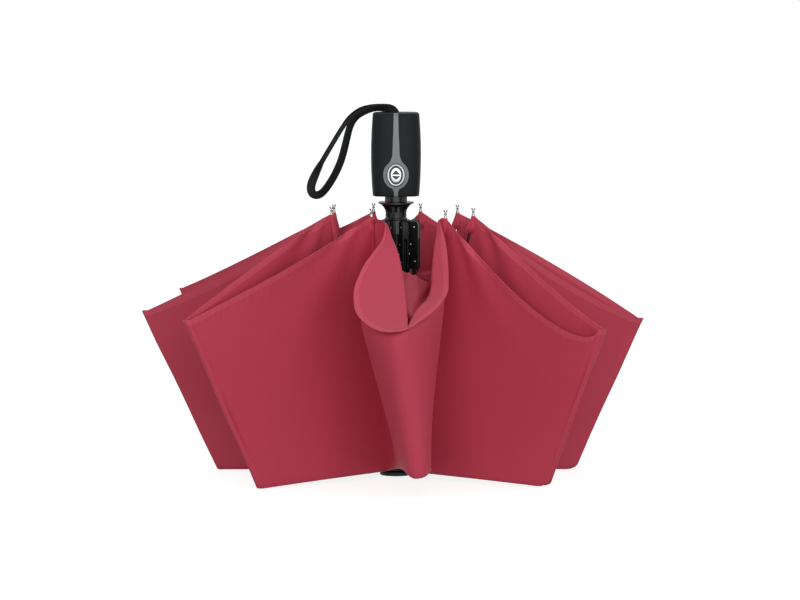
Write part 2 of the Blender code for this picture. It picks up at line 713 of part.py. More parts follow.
def make_runner(runner):
    groove_half = HINGE_WIRE + GAP
    groove_roof = RUNNER_WIRE_HEIGHT + HINGE_WIRE + GAP
    hub = turned("runner_hub", [
        (HUB_RADIUS, HUB_TOP), (HUB_RADIUS, HUB_BOTTOM),
        (RUNNER_WIRE_RADIUS + groove_half, HUB_BOTTOM), (RUNNER_WIRE_RADIUS + groove_half, groove_roof),
        (RUNNER_WIRE_RADIUS - groove_half, groove_roof), (RUNNER_WIRE_RADIUS - groove_half, HUB_BOTTOM),
        (BORE, HUB_BOTTOM), (BORE, HUB_TOP),
    ], 32)
    hub = slots(hub, len(RIBS), RIBS[0][1], HUB_SLOT_WIDTH, HUB_SLOT_FLOOR,
                HUB_BOTTOM - OVERRUN, HUB_TOP + OVERRUN, HUB_RADIUS + OVERRUN)
    finish(hub, "black plastic", runner)
    ring = [(x, y, RUNNER_WIRE_HEIGHT) for x, y in circle((0.0, 0.0), RUNNER_WIRE_RADIUS, 32)]
    finish(wire("runner_wire", ring, HINGE_WIRE, 1, closed=True), "bright steel", runner)
    low = HUB_TOP + GAP
    rise = COLLAR_TOP - low
    flare = COLLAR_FLANGE - COLLAR_WAIST
    shares = ((0.82, 0.50), (0.66, 0.24), (0.46, 0.08), (0.28, 0.0))
    profile = [(COLLAR_FLANGE - COLLAR_RING, COLLAR_TOP), (COLLAR_FLANGE, COLLAR_TOP - COLLAR_RING),
               (COLLAR_FLANGE, COLLAR_TOP - COLLAR_FLANGE_EDGE)]
    profile += [(COLLAR_WAIST + flare * out_share, low + rise * up_share) for up_share, out_share in shares]
    profile += [(COLLAR_WAIST, low + COLLAR_RING_HEIGHT), (COLLAR_WAIST + COLLAR_RING, low + COLLAR_RING_HEIGHT),
                (COLLAR_WAIST + COLLAR_RING, low), (BORE, low), (BORE, COLLAR_TOP)]
    collar = turned("runner_collar", profile, 32)
    collar = slots(collar, FLUTES, 0.0, FLUTE_WIDTH, FLUTE_FLOOR,
                   low + FLUTE_RISE, low + FLUTE_RISE + FLUTE_HEIGHT, COLLAR_FLANGE + OVERRUN)
    finish(collar, "black plastic", runner)


def handle_ring(height, inset):
    """The handle's rounded-square section at a height, drawn in by inset."""
    share = (height - HANDLE_BOTTOM) / (HANDLE_TOP - HANDLE_BOTTOM)
    belly = 1.0 - ((share - BELLY_SHARE) / BELLY_SHARE) ** 2
    half_width, half_depth = (
        half * (straight + foot * (1.0 - share) + swell * belly) - inset
        for half, straight, foot, swell in HANDLE_SWELL
    )
    edge = min(share, 1.0 - share) * (HANDLE_TOP - HANDLE_BOTTOM)
    if edge < HANDLE_EDGE:
        drawn_in = HANDLE_EDGE - math.sqrt(max(HANDLE_EDGE**2 - (HANDLE_EDGE - edge) ** 2, 0.0))
        half_width -= drawn_in
        half_depth -= drawn_in
    ring = []
    for i in range(HANDLE_RING_POINTS):
        angle = 2.0 * math.pi * (i + 0.5) / HANDLE_RING_POINTS
        c, s = math.cos(angle), math.sin(angle)
        power = 2.0 / HANDLE_SQUARENESS
        ring.append((half_width * math.copysign(abs(c) ** power, c),
                     half_depth * math.copysign(abs(s) ** power, s), height))
    return ring


def handle_solid(name, inset, low, high):
    shares = (0.0, 0.008, 0.024, 0.2, 0.4, 0.56, 0.72, 0.86, 0.976, 0.992, 1.0)
    return loft(name, [handle_ring(low + (high - low) * share, inset) for share in shares])


def half_space(name, front):
    reach = HANDLE_HALF_WIDTH * 2
    split = GAP / 2
    if front:
        return block(name, (-reach, -reach, HANDLE_BOTTOM - reach), (reach, -split, HANDLE_TOP + reach))
    return block(name, (-reach, split, HANDLE_BOTTOM - reach), (reach, reach, HANDLE_TOP + reach))


def inlay_outline(grow):
    """The grey strip, widening downwards into a ring round the button, and its short stem."""
    ring_x = BUTTON_HALF_WIDTH + INLAY_BAND + grow
    ring_z = BUTTON_HALF_HEIGHT + INLAY_BAND + grow
    top = INLAY_TOP_HALF_WIDTH + grow
    shoulder = INLAY_SHOULDER_HALF_WIDTH + grow
    stem = INLAY_TOP_HALF_WIDTH + grow

    def oval(angles):
        return [(ring_x * math.sin(math.radians(a)), BUTTON_HEIGHT + ring_z * math.cos(math.radians(a)))
                for a in angles]

    right = [(top, HANDLE_TOP + OVERRUN), (shoulder, BUTTON_HEIGHT + ring_z + SHOULDER_RISE)]
    right += oval((33.0, 50.0, 70.0, 90.0, 110.0, 130.0, 150.0, 164.0))
    right += [(stem, BUTTON_HEIGHT - ring_z - SHOULDER_RISE), (stem, HANDLE_BOTTOM - OVERRUN)]
    return right + [(-x, z) for x, z in reversed(right)]


def oval_outline(half_width, half_height, count=28):
    return [(half_width * math.cos(2.0 * math.pi * i / count),
             BUTTON_HEIGHT + half_height * math.sin(2.0 * math.pi * i / count)) for i in range(count)]


def inlay_skin(inset_out, inset_in, grow):
    """A layer of the handle's front face with the inlay's outline."""
    layer = handle_solid("layer", inset_out, HANDLE_BOTTOM, HANDLE_TOP)
    layer = combine(layer, handle_solid("core", inset_in, HANDLE_BOTTOM - OVERRUN, HANDLE_TOP + OVERRUN))
    pattern = outline_solid("pattern", [inlay_outline(grow)], HANDLE_HALF_DEPTH)
    pattern.location = (0.0, -HANDLE_HALF_DEPTH, 0.0)
    bpy.context.view_layer.update()
    return combine(layer, apply_place(pattern), "INTERSECT")


def make_shells(handle):
    low = HANDLE_BOTTOM
    high = HANDLE_TOP
    strap_room = block(
        "strap_room",
        (STRAP_EXIT_X - STRAP_WIDTH / 2 - STRAP_SWAY, STRAP_FRONT_Y - STRAP_THICKNESS / 2 - GAP,
         HANDLE_TOP - HANDLE_WALL - OVERRUN),
        (STRAP_EXIT_X + STRAP_WIDTH / 2 + GAP * 2, STRAP_BACK_Y + STRAP_THICKNESS / 2 + GAP,
         HANDLE_TOP + OVERRUN),
    )
    whole = handle_solid("shell", 0.0, low, high)
    hollow = handle_solid("hollow", HANDLE_WALL, low + HANDLE_WALL, high - HANDLE_WALL)
    whole = combine(whole, hollow)
    shelf = handle_solid("shelf", HANDLE_WALL / 2, SHAFT_WALL_HEIGHT, SHAFT_WALL_HEIGHT + SHAFT_WALL)
    whole = combine(whole, shelf, "UNION")
    neck = rod("neck_hole", (0.0, 0.0, low - OVERRUN), (0.0, 0.0, low + HANDLE_WALL + OVERRUN),
               BARREL_RADIUS + GAP, 24)
    whole = combine(whole, neck)
    shaft = rod("shaft_hole", (0.0, 0.0, SHAFT_WALL_HEIGHT - OVERRUN),
                (0.0, 0.0, SHAFT_WALL_HEIGHT + SHAFT_WALL + OVERRUN), INNER_TUBE_RADIUS + GAP, TUBE_SIDES)
    whole = combine(whole, shaft)
    whole = combine(whole, strap_room)
    front = as_object("handle_front_shell", whole.data.copy())
    front = combine(front, half_space("keep", True), "INTERSECT")
    back = as_object("handle_back_shell", whole.data.copy())
    back = combine(back, half_space("keep", False), "INTERSECT")
    bpy.data.objects.remove(whole, do_unlink=True)
    front.name = "handle_front_shell"
    back.name = "handle_back_shell"

    front_wall = -HANDLE_HALF_DEPTH + HANDLE_WALL / 2
    front = combine(front, rod("boss", (0.0, front_wall, SCREW_HEIGHT), (0.0, -BOSS_SPLIT, SCREW_HEIGHT),
                               BOSS_RADIUS, 12), "UNION")
    front = combine(front, rod("tapped_hole", (0.0, front_wall + HANDLE_WALL * 2, SCREW_HEIGHT),
                               (0.0, OVERRUN, SCREW_HEIGHT), SCREW_SHANK + GAP, 12))
    front = combine(front, outline_through("button_hole", oval_outline(
        BUTTON_HALF_WIDTH + GAP, BUTTON_HALF_HEIGHT + GAP)))
    front = combine(front, inlay_skin(-OVERRUN, INLAY_DEPTH + GAP, GAP))
    finish(front, "soft-touch black", handle)

    back_wall = HANDLE_HALF_DEPTH - HANDLE_WALL / 2
    back = combine(back, rod("pillar", (0.0, BOSS_SPLIT, SCREW_HEIGHT), (0.0, back_wall, SCREW_HEIGHT),
                             BOSS_RADIUS + SCREW_SHANK, 12), "UNION")
    post_end = STRAP_EXIT_X + HANDLE_HALF_WIDTH - HANDLE_WALL / 2
    post_y = (STRAP_FRONT_Y + STRAP_BACK_Y) / 2
    post = rod("strap_post", (-post_end + STRAP_EXIT_X * 2, post_y, STRAP_POST_HEIGHT),
               (post_end, post_y, STRAP_POST_HEIGHT), STRAP_POST_RADIUS, 8)
    back = combine(back, post, "UNION")
    back = combine(back, rod("screw_hole", (0.0, -OVERRUN, SCREW_HEIGHT),
                             (0.0, HANDLE_HALF_DEPTH + OVERRUN, SCREW_HEIGHT), SCREW_SHANK + GAP, 12))
    head_floor = HANDLE_HALF_DEPTH - SCREW_HEAD_DEPTH - GAP * 2
    back = combine(back, rod("head_room", (0.0, head_floor - GAP, SCREW_HEIGHT),
                             (0.0, HANDLE_HALF_DEPTH + OVERRUN, SCREW_HEIGHT), SCREW_HEAD + GAP, 16))
    finish(back, "soft-touch black", handle)

    screw = turned("handle_screw", [
        (0.0, head_floor + SCREW_HEAD_DEPTH), (SCREW_HEAD - GAP, head_floor + SCREW_HEAD_DEPTH),
        (SCREW_HEAD, head_floor + SCREW_HEAD_DEPTH - GAP), (SCREW_HEAD, head_floor), (SCREW_SHANK, head_floor),
        (SCREW_SHANK, head_floor - SCREW_LENGTH), (0.0, head_floor - SCREW_LENGTH),
    ], 16)
    screw.rotation_euler = (math.radians(-90.0), 0.0, 0.0)
    screw.location = (0.0, 0.0, SCREW_HEIGHT)
    bpy.context.view_layer.update()
    finish(apply_place(screw), "bright steel", handle)

    inlay = inlay_skin(-INLAY_PROUD, INLAY_DEPTH, 0.0)
    inlay.name = "handle_inlay"
    inlay = combine(inlay, outline_through("ring_hole", oval_outline(
        BUTTON_HALF_WIDTH + GAP, BUTTON_HALF_HEIGHT + GAP)))
    finish(inlay, "grey plastic", handle)

    barrel = turned("control_barrel", [
        (BARREL_RADIUS, BARREL_TOP), (BARREL_RADIUS, COLLAR_TOP + GAP), (BORE, COLLAR_TOP + GAP),
        (BORE, BARREL_TOP),
    ], 32)
    barrel = slots(barrel, BARREL_SLOTS, 22.5, BARREL_SLOT, BORE + TUBE_WALL,
                   COLLAR_TOP, HANDLE_BOTTOM - GAP, BARREL_RADIUS + OVERRUN)
    finish(barrel, "black plastic", handle)


def outline_through(name, outline):
    """A cutter through the handle's front wall."""
    tool = outline_solid(name, [outline], HANDLE_HALF_DEPTH / 2)
    tool.location = (0.0, -HANDLE_HALF_DEPTH, 0.0)
    bpy.context.view_layer.update()
    return apply_place(tool)


def slab(name, outlines, front, back):
    """Outlines in the XZ plane made solid from one depth to another."""
    part = outline_solid(name, outlines, (back - front) / 2)
    part.location = (0.0, (back + front) / 2, 0.0)
    bpy.context.view_layer.update()
    return apply_place(part)


def make_button(button, handle):
    face = -HANDLE_HALF_DEPTH - BUTTON_PROUD
    rear = face + BUTTON_THICKNESS
    stages = [(face + BUTTON_ROUND * deep, BUTTON_ROUND * drawn_in) for deep, drawn_in in BUTTON_ROUND_SHARES]
    stages.append((rear, 0.0))
    rings = []
    for depth, drawn in stages:
        outline = oval_outline(BUTTON_HALF_WIDTH - drawn, BUTTON_HALF_HEIGHT - drawn)
        rings.append([(x, depth, z) for x, z in outline])
    cap = loft("button_cap", rings)
    outer = oval_outline(BUTTON_HALF_WIDTH - BUTTON_RIM, BUTTON_HALF_HEIGHT - BUTTON_RIM)
    inner = oval_outline(BUTTON_HALF_WIDTH - BUTTON_RIM - BUTTON_GROOVE,
                         BUTTON_HALF_HEIGHT - BUTTON_RIM - BUTTON_GROOVE)
    cap = combine(cap, slab("groove", [outer, inner], face - OVERRUN, face + BUTTON_GROOVE_DEPTH))
    for side in (1.0, -1.0):
        base = BUTTON_HEIGHT + side * ARROW_SPLIT
        tip = BUTTON_HEIGHT + side * (ARROW_SPLIT + ARROW_HEIGHT)
        arrow = [(-ARROW_HALF_WIDTH, base), (ARROW_HALF_WIDTH, base), (0.0, tip)]
        cap = combine(cap, slab("arrow", [arrow], face - OVERRUN, face + ARROW_DEPTH))
    finish(cap, "chrome", button)

    reach = BUTTON_TRAVEL + GAP
    window = arc((0.0, reach / 2), INNER_TUBE_RADIUS + GAP, 0.0, 180.0, 9)
    window += arc((0.0, -reach), INNER_TUBE_RADIUS + GAP, 180.0, 360.0, 9)
    plate_front = rear + GAP
    corner = BUTTON_ROUND * 2
    outline = [
        (-PLATE_HALF_WIDTH + corner, plate_front), (PLATE_HALF_WIDTH - corner, plate_front),
        (PLATE_HALF_WIDTH, plate_front + corner), (PLATE_HALF_WIDTH, PLATE_TAIL - corner),
        (PLATE_HALF_WIDTH - corner, PLATE_TAIL), (-PLATE_HALF_WIDTH + corner, PLATE_TAIL),
        (-PLATE_HALF_WIDTH, PLATE_TAIL - corner), (-PLATE_HALF_WIDTH, plate_front + corner),
    ]
    plate = outline_solid("catch_plate", [outline, window], PLATE_THICKNESS / 2, upright=False)
    plate.location = (0.0, 0.0, PLATE_HEIGHT)
    bpy.context.view_layer.update()
    finish(apply_place(plate), "bright steel", button)

    start = PLATE_TAIL + GAP + CATCH_WIRE
    end = HANDLE_HALF_DEPTH - HANDLE_WALL - GAP - CATCH_WIRE * 2
    count = CATCH_TURNS * CATCH_POINTS_PER_TURN
    points = []
    for i in range(count + 1):
        angle = 2.0 * math.pi * i / CATCH_POINTS_PER_TURN
        points.append((CATCH_COIL_RADIUS * math.cos(angle), start + (end - start) * i / count,
                       PLATE_HEIGHT + CATCH_COIL_RADIUS * math.sin(angle)))
    finish(wire("catch_spring", points, CATCH_WIRE / 2, 0), "bright steel", handle)


def make_strap(handle):
    """Flat webbing swept along its route; the two runs lie side by side in depth."""
    exit_level = Vector((0.0, 0.0, HANDLE_TOP))
    route = curve_through([exit_level + Vector(point) * MM for point in STRAP_ROUTE], 64)
    corner = STRAP_THICKNESS / 4
    half_width = STRAP_WIDTH / 2
    half_thick = STRAP_THICKNESS / 2
    section = [(half_width - corner, half_thick), (-half_width + corner, half_thick),
               (-half_width, 0.0), (-half_width + corner, -half_thick), (half_width - corner, -half_thick),
               (half_width, 0.0)]
    across = Vector((0.0, 1.0, 0.0))
    rings = []
    for i, place in enumerate(route):
        run = route[min(i + 1, len(route) - 1)] - route[max(i - 1, 0)]
        wide = across.cross(run).normalized()
        rings.append([place + wide * u + across * v for u, v in section])
    finish(loft("wrist_strap", rings), "webbing", handle)


def seam_edge(rib, side):
    """The line where a pleat leaves a rib: its foot, its hem corner, and both set off to one side."""
    _, azimuth, tip_azimuth, reach_share = rib
    foot_radius = MIDDLE_RIB_OUTER + GAP * 2.5 + OUTER_RIB_RADIUS * 2 + CLOTH / 2
    foot = polar(azimuth, foot_radius, FOLD_LIFT)
    top = polar(tip_azimuth, reach_share * TIP_SPREAD + OUTER_RIB_RADIUS + GAP + CLOTH, CLOTH_CORNER)
    foot += polar(azimuth + 90.0 * side, SEAM_HALF_GAP, 0.0)
    top += polar(tip_azimuth + 90.0 * side, SEAM_HALF_GAP, 0.0)
    return foot, top


def pleat_line(first, corner, last, azimuth, sags, sag_size):
    """From the first rib out to the rounded corner and back to the last rib."""
    outward = polar(azimuth, 1.0, 0.0)
    across = polar(azimuth + 90.0, 1.0, 0.0)
    middle = corner - outward * CREASE_RADIUS
    ends = (middle - across * CREASE_RADIUS, middle + across * CREASE_RADIUS)
    line = []
    for i in range(HALF_POINTS):
        t = i / HALF_POINTS
        line.append(first.lerp(ends[0], t) - Vector((0.0, 0.0, sags[0] * sag_size * math.sin(math.pi * t))))
    for i in range(ARC_POINTS):
        angle = math.pi * (i / (ARC_POINTS - 1) - 0.5)
        line.append(middle + (outward * math.cos(angle) + across * math.sin(angle)) * CREASE_RADIUS)
    for i in range(HALF_POINTS):
        t = (i + 1) / HALF_POINTS
        line.append(ends[1].lerp(last, t) - Vector((0.0, 0.0, sags[1] * sag_size * math.sin(math.pi * t))))
    return line


def make_canopy(root):
    count = len(RIBS)
    for k, pleat in enumerate(PLEATS):
        first = RIBS[k]
        last = RIBS[(k + 1) % count]
        first_foot, first_top = seam_edge(first, 1.0)
        last_foot, last_top = seam_edge(last, -1.0)
        if pleat:
            name, hem_azimuth, hem_share, height_share, fold_azimuth, fold_share, sag_a, sag_b = pleat
            hem_corner = polar(hem_azimuth, hem_share * HEM_REACH, height_share * TIP_TOP)
            fold_corner = polar(fold_azimuth, fold_share * FOLD_REACH, FOLD_LIFT)
            top = pleat_line(first_top, hem_corner, last_top, hem_azimuth, (sag_a, sag_b), SAG)
            bottom = pleat_line(first_foot, fold_corner, last_foot, fold_azimuth, (0.0, 0.0), SAG)
        else:
            name = "front"
            top = [first_top] + [polar(a, r * HEM_REACH, h * TIP_TOP) for a, r, h in FUNNEL_HEM] + [last_top]
            bottom = [first_foot] + [polar(a, r * FOLD_REACH, h * TIP_TOP) for a, r, h in FUNNEL_FOLD]
            bottom.append(last_foot)
            top = curve_through(top, FUNNEL_POINT_COUNT)
            bottom = curve_through(bottom, FUNNEL_POINT_COUNT)
        rows = []
        for j in range(GORE_ROWS):
            share = j / (GORE_ROWS - 1)
            rows.append([low.lerp(high, share) for low, high in zip(bottom, top)])
        gore = sheet(f"canopy_{name}", rows, CLOTH)
        finish(gore, "cloth", root)
    make_inner_folds(root)


def make_inner_folds(root):
    """The middle and inner thirds of the cloth, folded up between the ribs as one star-shaped skirt."""
    half_pitch = HALF_TURN / len(RIBS)
    shares = ((-1.0, 1.0), (-0.78, 0.72), (-0.55, 0.12), (-0.25, 0.0), (0.25, 0.0), (0.55, 0.12), (0.78, 0.72))
    front_gap = (RIBS[5][1] + RIBS[6][1]) / 2
    rings = []
    for height_share in (0.0, 0.4, 0.8, 1.0):
        height = INNER_FOLD_BOTTOM + (INNER_FOLD_TOP - INNER_FOLD_BOTTOM) * height_share
        ring = []
        for _, azimuth, _, _ in RIBS:
            for turn_share, lobe_share in shares:
                at = azimuth + turn_share * half_pitch
                lobe = INNER_FOLD_LOBE - INNER_FOLD_VALLEY
                if abs((at - front_gap + HALF_TURN) % TURN - HALF_TURN) < half_pitch:
                    lobe *= FRONT_LOBE_SHARE * (LOBE_FOOT_SHARE + (1.0 - LOBE_FOOT_SHARE) * height_share)
                ring.append(polar(at, INNER_FOLD_VALLEY + lobe * lobe_share, height))
        ring.append(ring[0])
        rings.append(ring)
    skirt = sheet("canopy_inner_folds", rings, CLOTH)
    finish(skirt, "cloth", root)


def main():
    root = pivot("root", (0.0, 0.0, 0.0))
    middle = pivot("middle_slide", (0.0, 0.0, CAP_HEIGHT), parent=root)
    handle = pivot("handle_slide", (0.0, 0.0, HANDLE_BOTTOM), parent=middle)
    runner = pivot("runner_slide", (0.0, 0.0, HUB_BOTTOM), parent=root)
    button = pivot("button_slide", (0.0, -HANDLE_HALF_DEPTH, BUTTON_HEIGHT), parent=handle)
    make_shaft(root, middle, handle)
    make_crown(root)
    make_ribs(root)
    make_runner(runner)
    make_shells(handle)
    make_button(button, handle)
    make_strap(handle)
    make_canopy(root)
    solids = [part for part in PARTS.objects if part.type == "MESH"]
    print(f"{len(solids)} parts, the highest point at {TIP_TOP:.3f} m on the rib tips")


empty_scene()
PARTS = collection("umbrella")
main()
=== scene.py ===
# %% [markdown]
# # A folded windproof umbrella
#
# The object is a compact automatic umbrella, folded loosely and standing on its cap with the handle up.
# The imported model gives the pieces that move: shaft tubes, ribs, runner, button. This lesson dresses them.
# The first cell loads that frame.

# %% Load the frame
import math

import bmesh
import bpy
import numpy as np
from mathutils import Matrix, Vector


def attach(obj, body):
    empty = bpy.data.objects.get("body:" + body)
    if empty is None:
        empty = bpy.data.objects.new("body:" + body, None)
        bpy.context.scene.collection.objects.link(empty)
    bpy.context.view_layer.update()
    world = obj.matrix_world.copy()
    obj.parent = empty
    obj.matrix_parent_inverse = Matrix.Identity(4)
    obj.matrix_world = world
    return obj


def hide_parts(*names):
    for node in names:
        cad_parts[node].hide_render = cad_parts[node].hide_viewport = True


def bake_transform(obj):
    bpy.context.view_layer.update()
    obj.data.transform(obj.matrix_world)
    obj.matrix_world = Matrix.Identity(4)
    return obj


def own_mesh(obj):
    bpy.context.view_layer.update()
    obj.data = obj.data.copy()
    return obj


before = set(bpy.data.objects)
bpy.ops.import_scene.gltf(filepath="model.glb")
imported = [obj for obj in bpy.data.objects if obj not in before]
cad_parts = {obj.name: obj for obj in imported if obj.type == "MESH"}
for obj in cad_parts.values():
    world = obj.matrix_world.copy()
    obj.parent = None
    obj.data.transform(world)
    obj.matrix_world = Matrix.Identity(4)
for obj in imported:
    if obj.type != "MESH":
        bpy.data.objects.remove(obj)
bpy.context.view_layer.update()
MM = 0.001

# %% [markdown]
# ## Camera
#
# The photograph looks at the umbrella nearly level, from far away with a long lens: near and far folds have
# almost the same size. A camera five metres off, 5.2 degrees above level, gives that flat look. One pixel of
# the photograph is 0.8 mm at the shaft, which sets the width that the lens takes in.

# %% Camera
PICTURE_WIDTH = 800
PIXEL = 0.8 * MM
CAMERA_DISTANCE = 5.0
CAMERA_RISE = math.radians(5.2)
AIM = Vector((3.2 * MM, 0.0, 140.5 * MM))
SENSOR = 36.0
FARTHEST_SEEN = 50.0


def add_object(name, data):
    """Puts a mesh, a lamp or a camera into the scene."""
    made = bpy.data.objects.new(name, data)
    bpy.context.scene.collection.objects.link(made)
    return made


camera_data = bpy.data.cameras.new("camera")
camera_data.sensor_width = SENSOR
camera_data.lens = SENSOR * CAMERA_DISTANCE / (PICTURE_WIDTH * PIXEL)
camera_data.clip_end = FARTHEST_SEEN
camera = add_object("camera", camera_data)
look = Vector((0.0, math.cos(CAMERA_RISE), -math.sin(CAMERA_RISE)))
camera.location = AIM - look * CAMERA_DISTANCE
camera.rotation_euler = look.to_track_quat("-Z", "Y").to_euler()
bpy.context.scene.camera = camera
print("lens", round(camera_data.lens, 1), "mm")

# %% [markdown]
# ## Shader maths as plain sums
#
# A material here is a small graph of nodes. Writing `noise * 0.5 + 0.2` is easier to read than five lines
# of links, so a socket is wrapped in a class whose operators add the Math nodes.

# %% Shader helpers
def feed(tree, socket, value):
    """Gives an input a plain value, or a link when the value is another node's output."""
    value = getattr(value, "socket", value)
    if isinstance(value, bpy.types.NodeSocket):
        tree.links.new(value, socket)
    else:
        socket.default_value = value


def add_node(tree, kind, inputs, **settings):
    made = tree.nodes.new(kind)
    for name, value in settings.items():
        setattr(made, name, value)
    for name, value in inputs.items():
        feed(tree, made.inputs[name], value)
    return made


class Field:
    """An output that adds and multiplies like a number."""

    def __init__(self, finish, socket):
        self.finish = finish
        self.socket = socket

    def _math(self, operation, first, second):
        return self.finish.node("ShaderNodeMath", {0: first, 1: second}, operation=operation)

    def __add__(self, other):
        return self._math("ADD", self, other)

    def __rsub__(self, other):
        return self._math("SUBTRACT", other, self)

    def __mul__(self, other):
        return self._math("MULTIPLY", self, other)


class Finish:
    """A material with a Principled shader and the nodes that feed it."""

    def __init__(self, name, colour, roughness, metallic=0.0, **sockets):
        self.material = bpy.data.materials.new(name)
        self.material.use_nodes = True
        self.tree = self.material.node_tree
        self.shader = self.tree.nodes["Principled BSDF"]
        self.set(base_color=(*colour, 1.0), roughness=roughness, metallic=metallic, **sockets)

    def set(self, **sockets):
        for words, value in sockets.items():
            title = words.replace("_", " ").title().replace("Ior", "IOR")
            feed(self.tree, self.shader.inputs[title], value)

    def node(self, kind, inputs, output=0, **settings):
        return Field(self, add_node(self.tree, kind, inputs, **settings).outputs[output])

    def coordinates(self, scale=(1.0, 1.0, 1.0), source="Object"):
        place = self.node("ShaderNodeTexCoord", {}, source)
        return self.node("ShaderNodeMapping", {"Vector": place, "Scale": scale})

    def noise(self, vector, scale, detail=3.0, roughness=0.55):
        inputs = {"Vector": vector, "Scale": scale, "Detail": detail, "Roughness": roughness}
        return self.node("ShaderNodeTexNoise", inputs)

    def waves(self, vector, scale, direction):
        return self.node("ShaderNodeTexWave", {"Vector": vector, "Scale": scale}, bands_direction=direction)

    def ramp(self, factor, *stops):
        """Shades of grey at places along the factor."""
        made = self.node("ShaderNodeValToRGB", {"Fac": factor})
        elements = made.socket.node.color_ramp.elements
        while len(elements) < len(stops):
            elements.new(1.0)
        for element, (place, shade) in zip(elements, stops):
            element.position = place
            element.color = (shade, shade, shade, 1.0)
        return made

    def mix(self, factor, first, second):
        """Two colours mixed by a factor; the node takes them at inputs 6 and 7."""
        inputs = {0: factor, 6: (*first, 1.0), 7: (*second, 1.0)}
        return self.node("ShaderNodeMix", inputs, 2, data_type="RGBA")

    def bump(self, height, distance, strength):
        inputs = {"Height": height, "Distance": distance, "Strength": strength}
        self.set(normal=self.node("ShaderNodeBump", inputs))
        return self


print("shader helpers ready")

# %% [markdown]
# ## Mesh helpers
#
# Cloth and webbing are grids: rows of points joined by quads. Turned parts are a profile swept round the
# shaft, and everything else is a loft through rings. A grid can carry a UV map in metres along the flat
# cloth, so that a weave keeps its size on every panel.

# %% Mesh helpers
TURNED_SHARP = 35.0
STEPS_BETWEEN = 10


def grid_faces(rows, columns, closed=False, capped=False):
    """Quads between rows of points; closed joins a row's ends, capped closes the first and last row."""
    faces = []
    for j in range(rows - 1):
        for i in range(columns if closed else columns - 1):
            k = (i + 1) % columns
            faces.append((j * columns + i, j * columns + k, (j + 1) * columns + k, (j + 1) * columns + i))
    if capped:
        faces.append(tuple(range(columns - 1, -1, -1)))
        faces.append(tuple(range((rows - 1) * columns, rows * columns)))
    return faces


def smooth(made, sharp):
    """Smooth shading; edges that turn by more than the angle stay sharp."""
    made.data.shade_smooth()
    if sharp:
        made.data.set_sharp_from_angle(angle=math.radians(sharp))
    return made


def mesh_from(name, points, faces, finish, uvs=None, sharp=None):
    data = bpy.data.meshes.new(name)
    data.from_pydata([tuple(map(float, point)) for point in points], [], faces)
    data.update()
    if uvs is not None:
        layer = data.uv_layers.new(name="flat")
        index = np.empty(len(data.loops), int)
        data.loops.foreach_get("vertex_index", index)
        layer.data.foreach_set("uv", np.asarray(uvs, float)[index].ravel())
    if finish:
        data.materials.append(finish.material)
    return smooth(add_object(name, data), sharp)


def loft(name, rings, finish=None, ends=True, sharp=TURNED_SHARP):
    """A closed skin through rings of equal counts, with its faces turned outwards."""
    rings = np.asarray(rings, float)
    faces = grid_faces(*rings.shape[:2], closed=True, capped=ends)
    made = mesh_from(name, rings.reshape(-1, 3), faces, finish, sharp=sharp)
    build = bmesh.new()
    build.from_mesh(made.data)
    bmesh.ops.remove_doubles(build, verts=build.verts, dist=0.001 * MM)
    bmesh.ops.recalc_face_normals(build, faces=build.faces)
    build.to_mesh(made.data)
    build.free()
    return made


def full_turn(count):
    return np.linspace(0.0, 2.0 * math.pi, count, endpoint=False)


def turned(name, profile, sides, finish=None):
    """A closed profile of radius and height, turned about Z."""
    rings = [[(r * math.cos(a), r * math.sin(a), z) for a in full_turn(sides)] for r, z in profile]
    return loft(name, rings + rings[:1], finish, ends=False)


def baked(made):
    """Turns the object with its modifiers into a plain mesh."""
    graph = bpy.context.evaluated_depsgraph_get()
    data = bpy.data.meshes.new_from_object(made.evaluated_get(graph))
    made.modifiers.clear()
    made.data = data
    return made


def combine(body, tool, operation="DIFFERENCE"):
    """Cuts or intersects a body with a tool, which is used up."""
    step = body.modifiers.new("combine", "BOOLEAN")
    step.operation = operation
    step.object = tool
    baked(body)
    bpy.data.objects.remove(tool, do_unlink=True)
    return body


def block(low, high):
    """A box between two corners."""
    (x0, y0, z0), (x1, y1, z1) = low, high
    corners = ((x0, y0), (x1, y0), (x1, y1), (x0, y1))
    return loft("block", [[(x, y, z) for x, y in corners] for z in (z0, z1)], sharp=None)


def joined(name, pieces):
    """Makes one mesh object of several, which keep their materials."""
    build = bmesh.new()
    materials = []
    for piece in pieces:
        offset = len(build.faces)
        build.from_mesh(piece.data)
        build.faces.ensure_lookup_table()
        for material in piece.data.materials:
            if material not in materials:
                materials.append(material)
        for face in build.faces[offset:]:
            face.material_index = materials.index(piece.data.materials[face.material_index])
        bpy.data.objects.remove(piece, do_unlink=True)
    data = bpy.data.meshes.new(name)
    build.to_mesh(data)
    build.free()
    for material in materials:
        data.materials.append(material)
    return add_object(name, data)


def polar(azimuth, reach, height):
    angle = math.radians(azimuth)
    return np.array((reach * math.cos(angle), reach * math.sin(angle), height))


def unit(vectors):
    return vectors / (np.linalg.norm(vectors, axis=-1, keepdims=True) + 1e-12)


def through(points):
    """A smooth curve through the points, with a fixed number of steps between each two."""
    points = [np.asarray(p, float) for p in points]
    padded = [points[0] * 2 - points[1], *points, points[-1] * 2 - points[-2]]
    found = []
    for a, b, c, d in zip(padded, padded[1:], padded[2:], padded[3:]):
        for t in np.linspace(0.0, 1.0, STEPS_BETWEEN, endpoint=False):
            found.append(0.5 * (2 * b + (c - a) * t + (2 * a - 5 * b + 4 * c - d) * t**2
                                + (3 * b - 3 * c + d - a) * t**3))
    return np.array(found + [points[-1]])


def travel(line):
    return np.concatenate([[0.0], np.cumsum(np.linalg.norm(np.diff(line, axis=0), axis=1))])


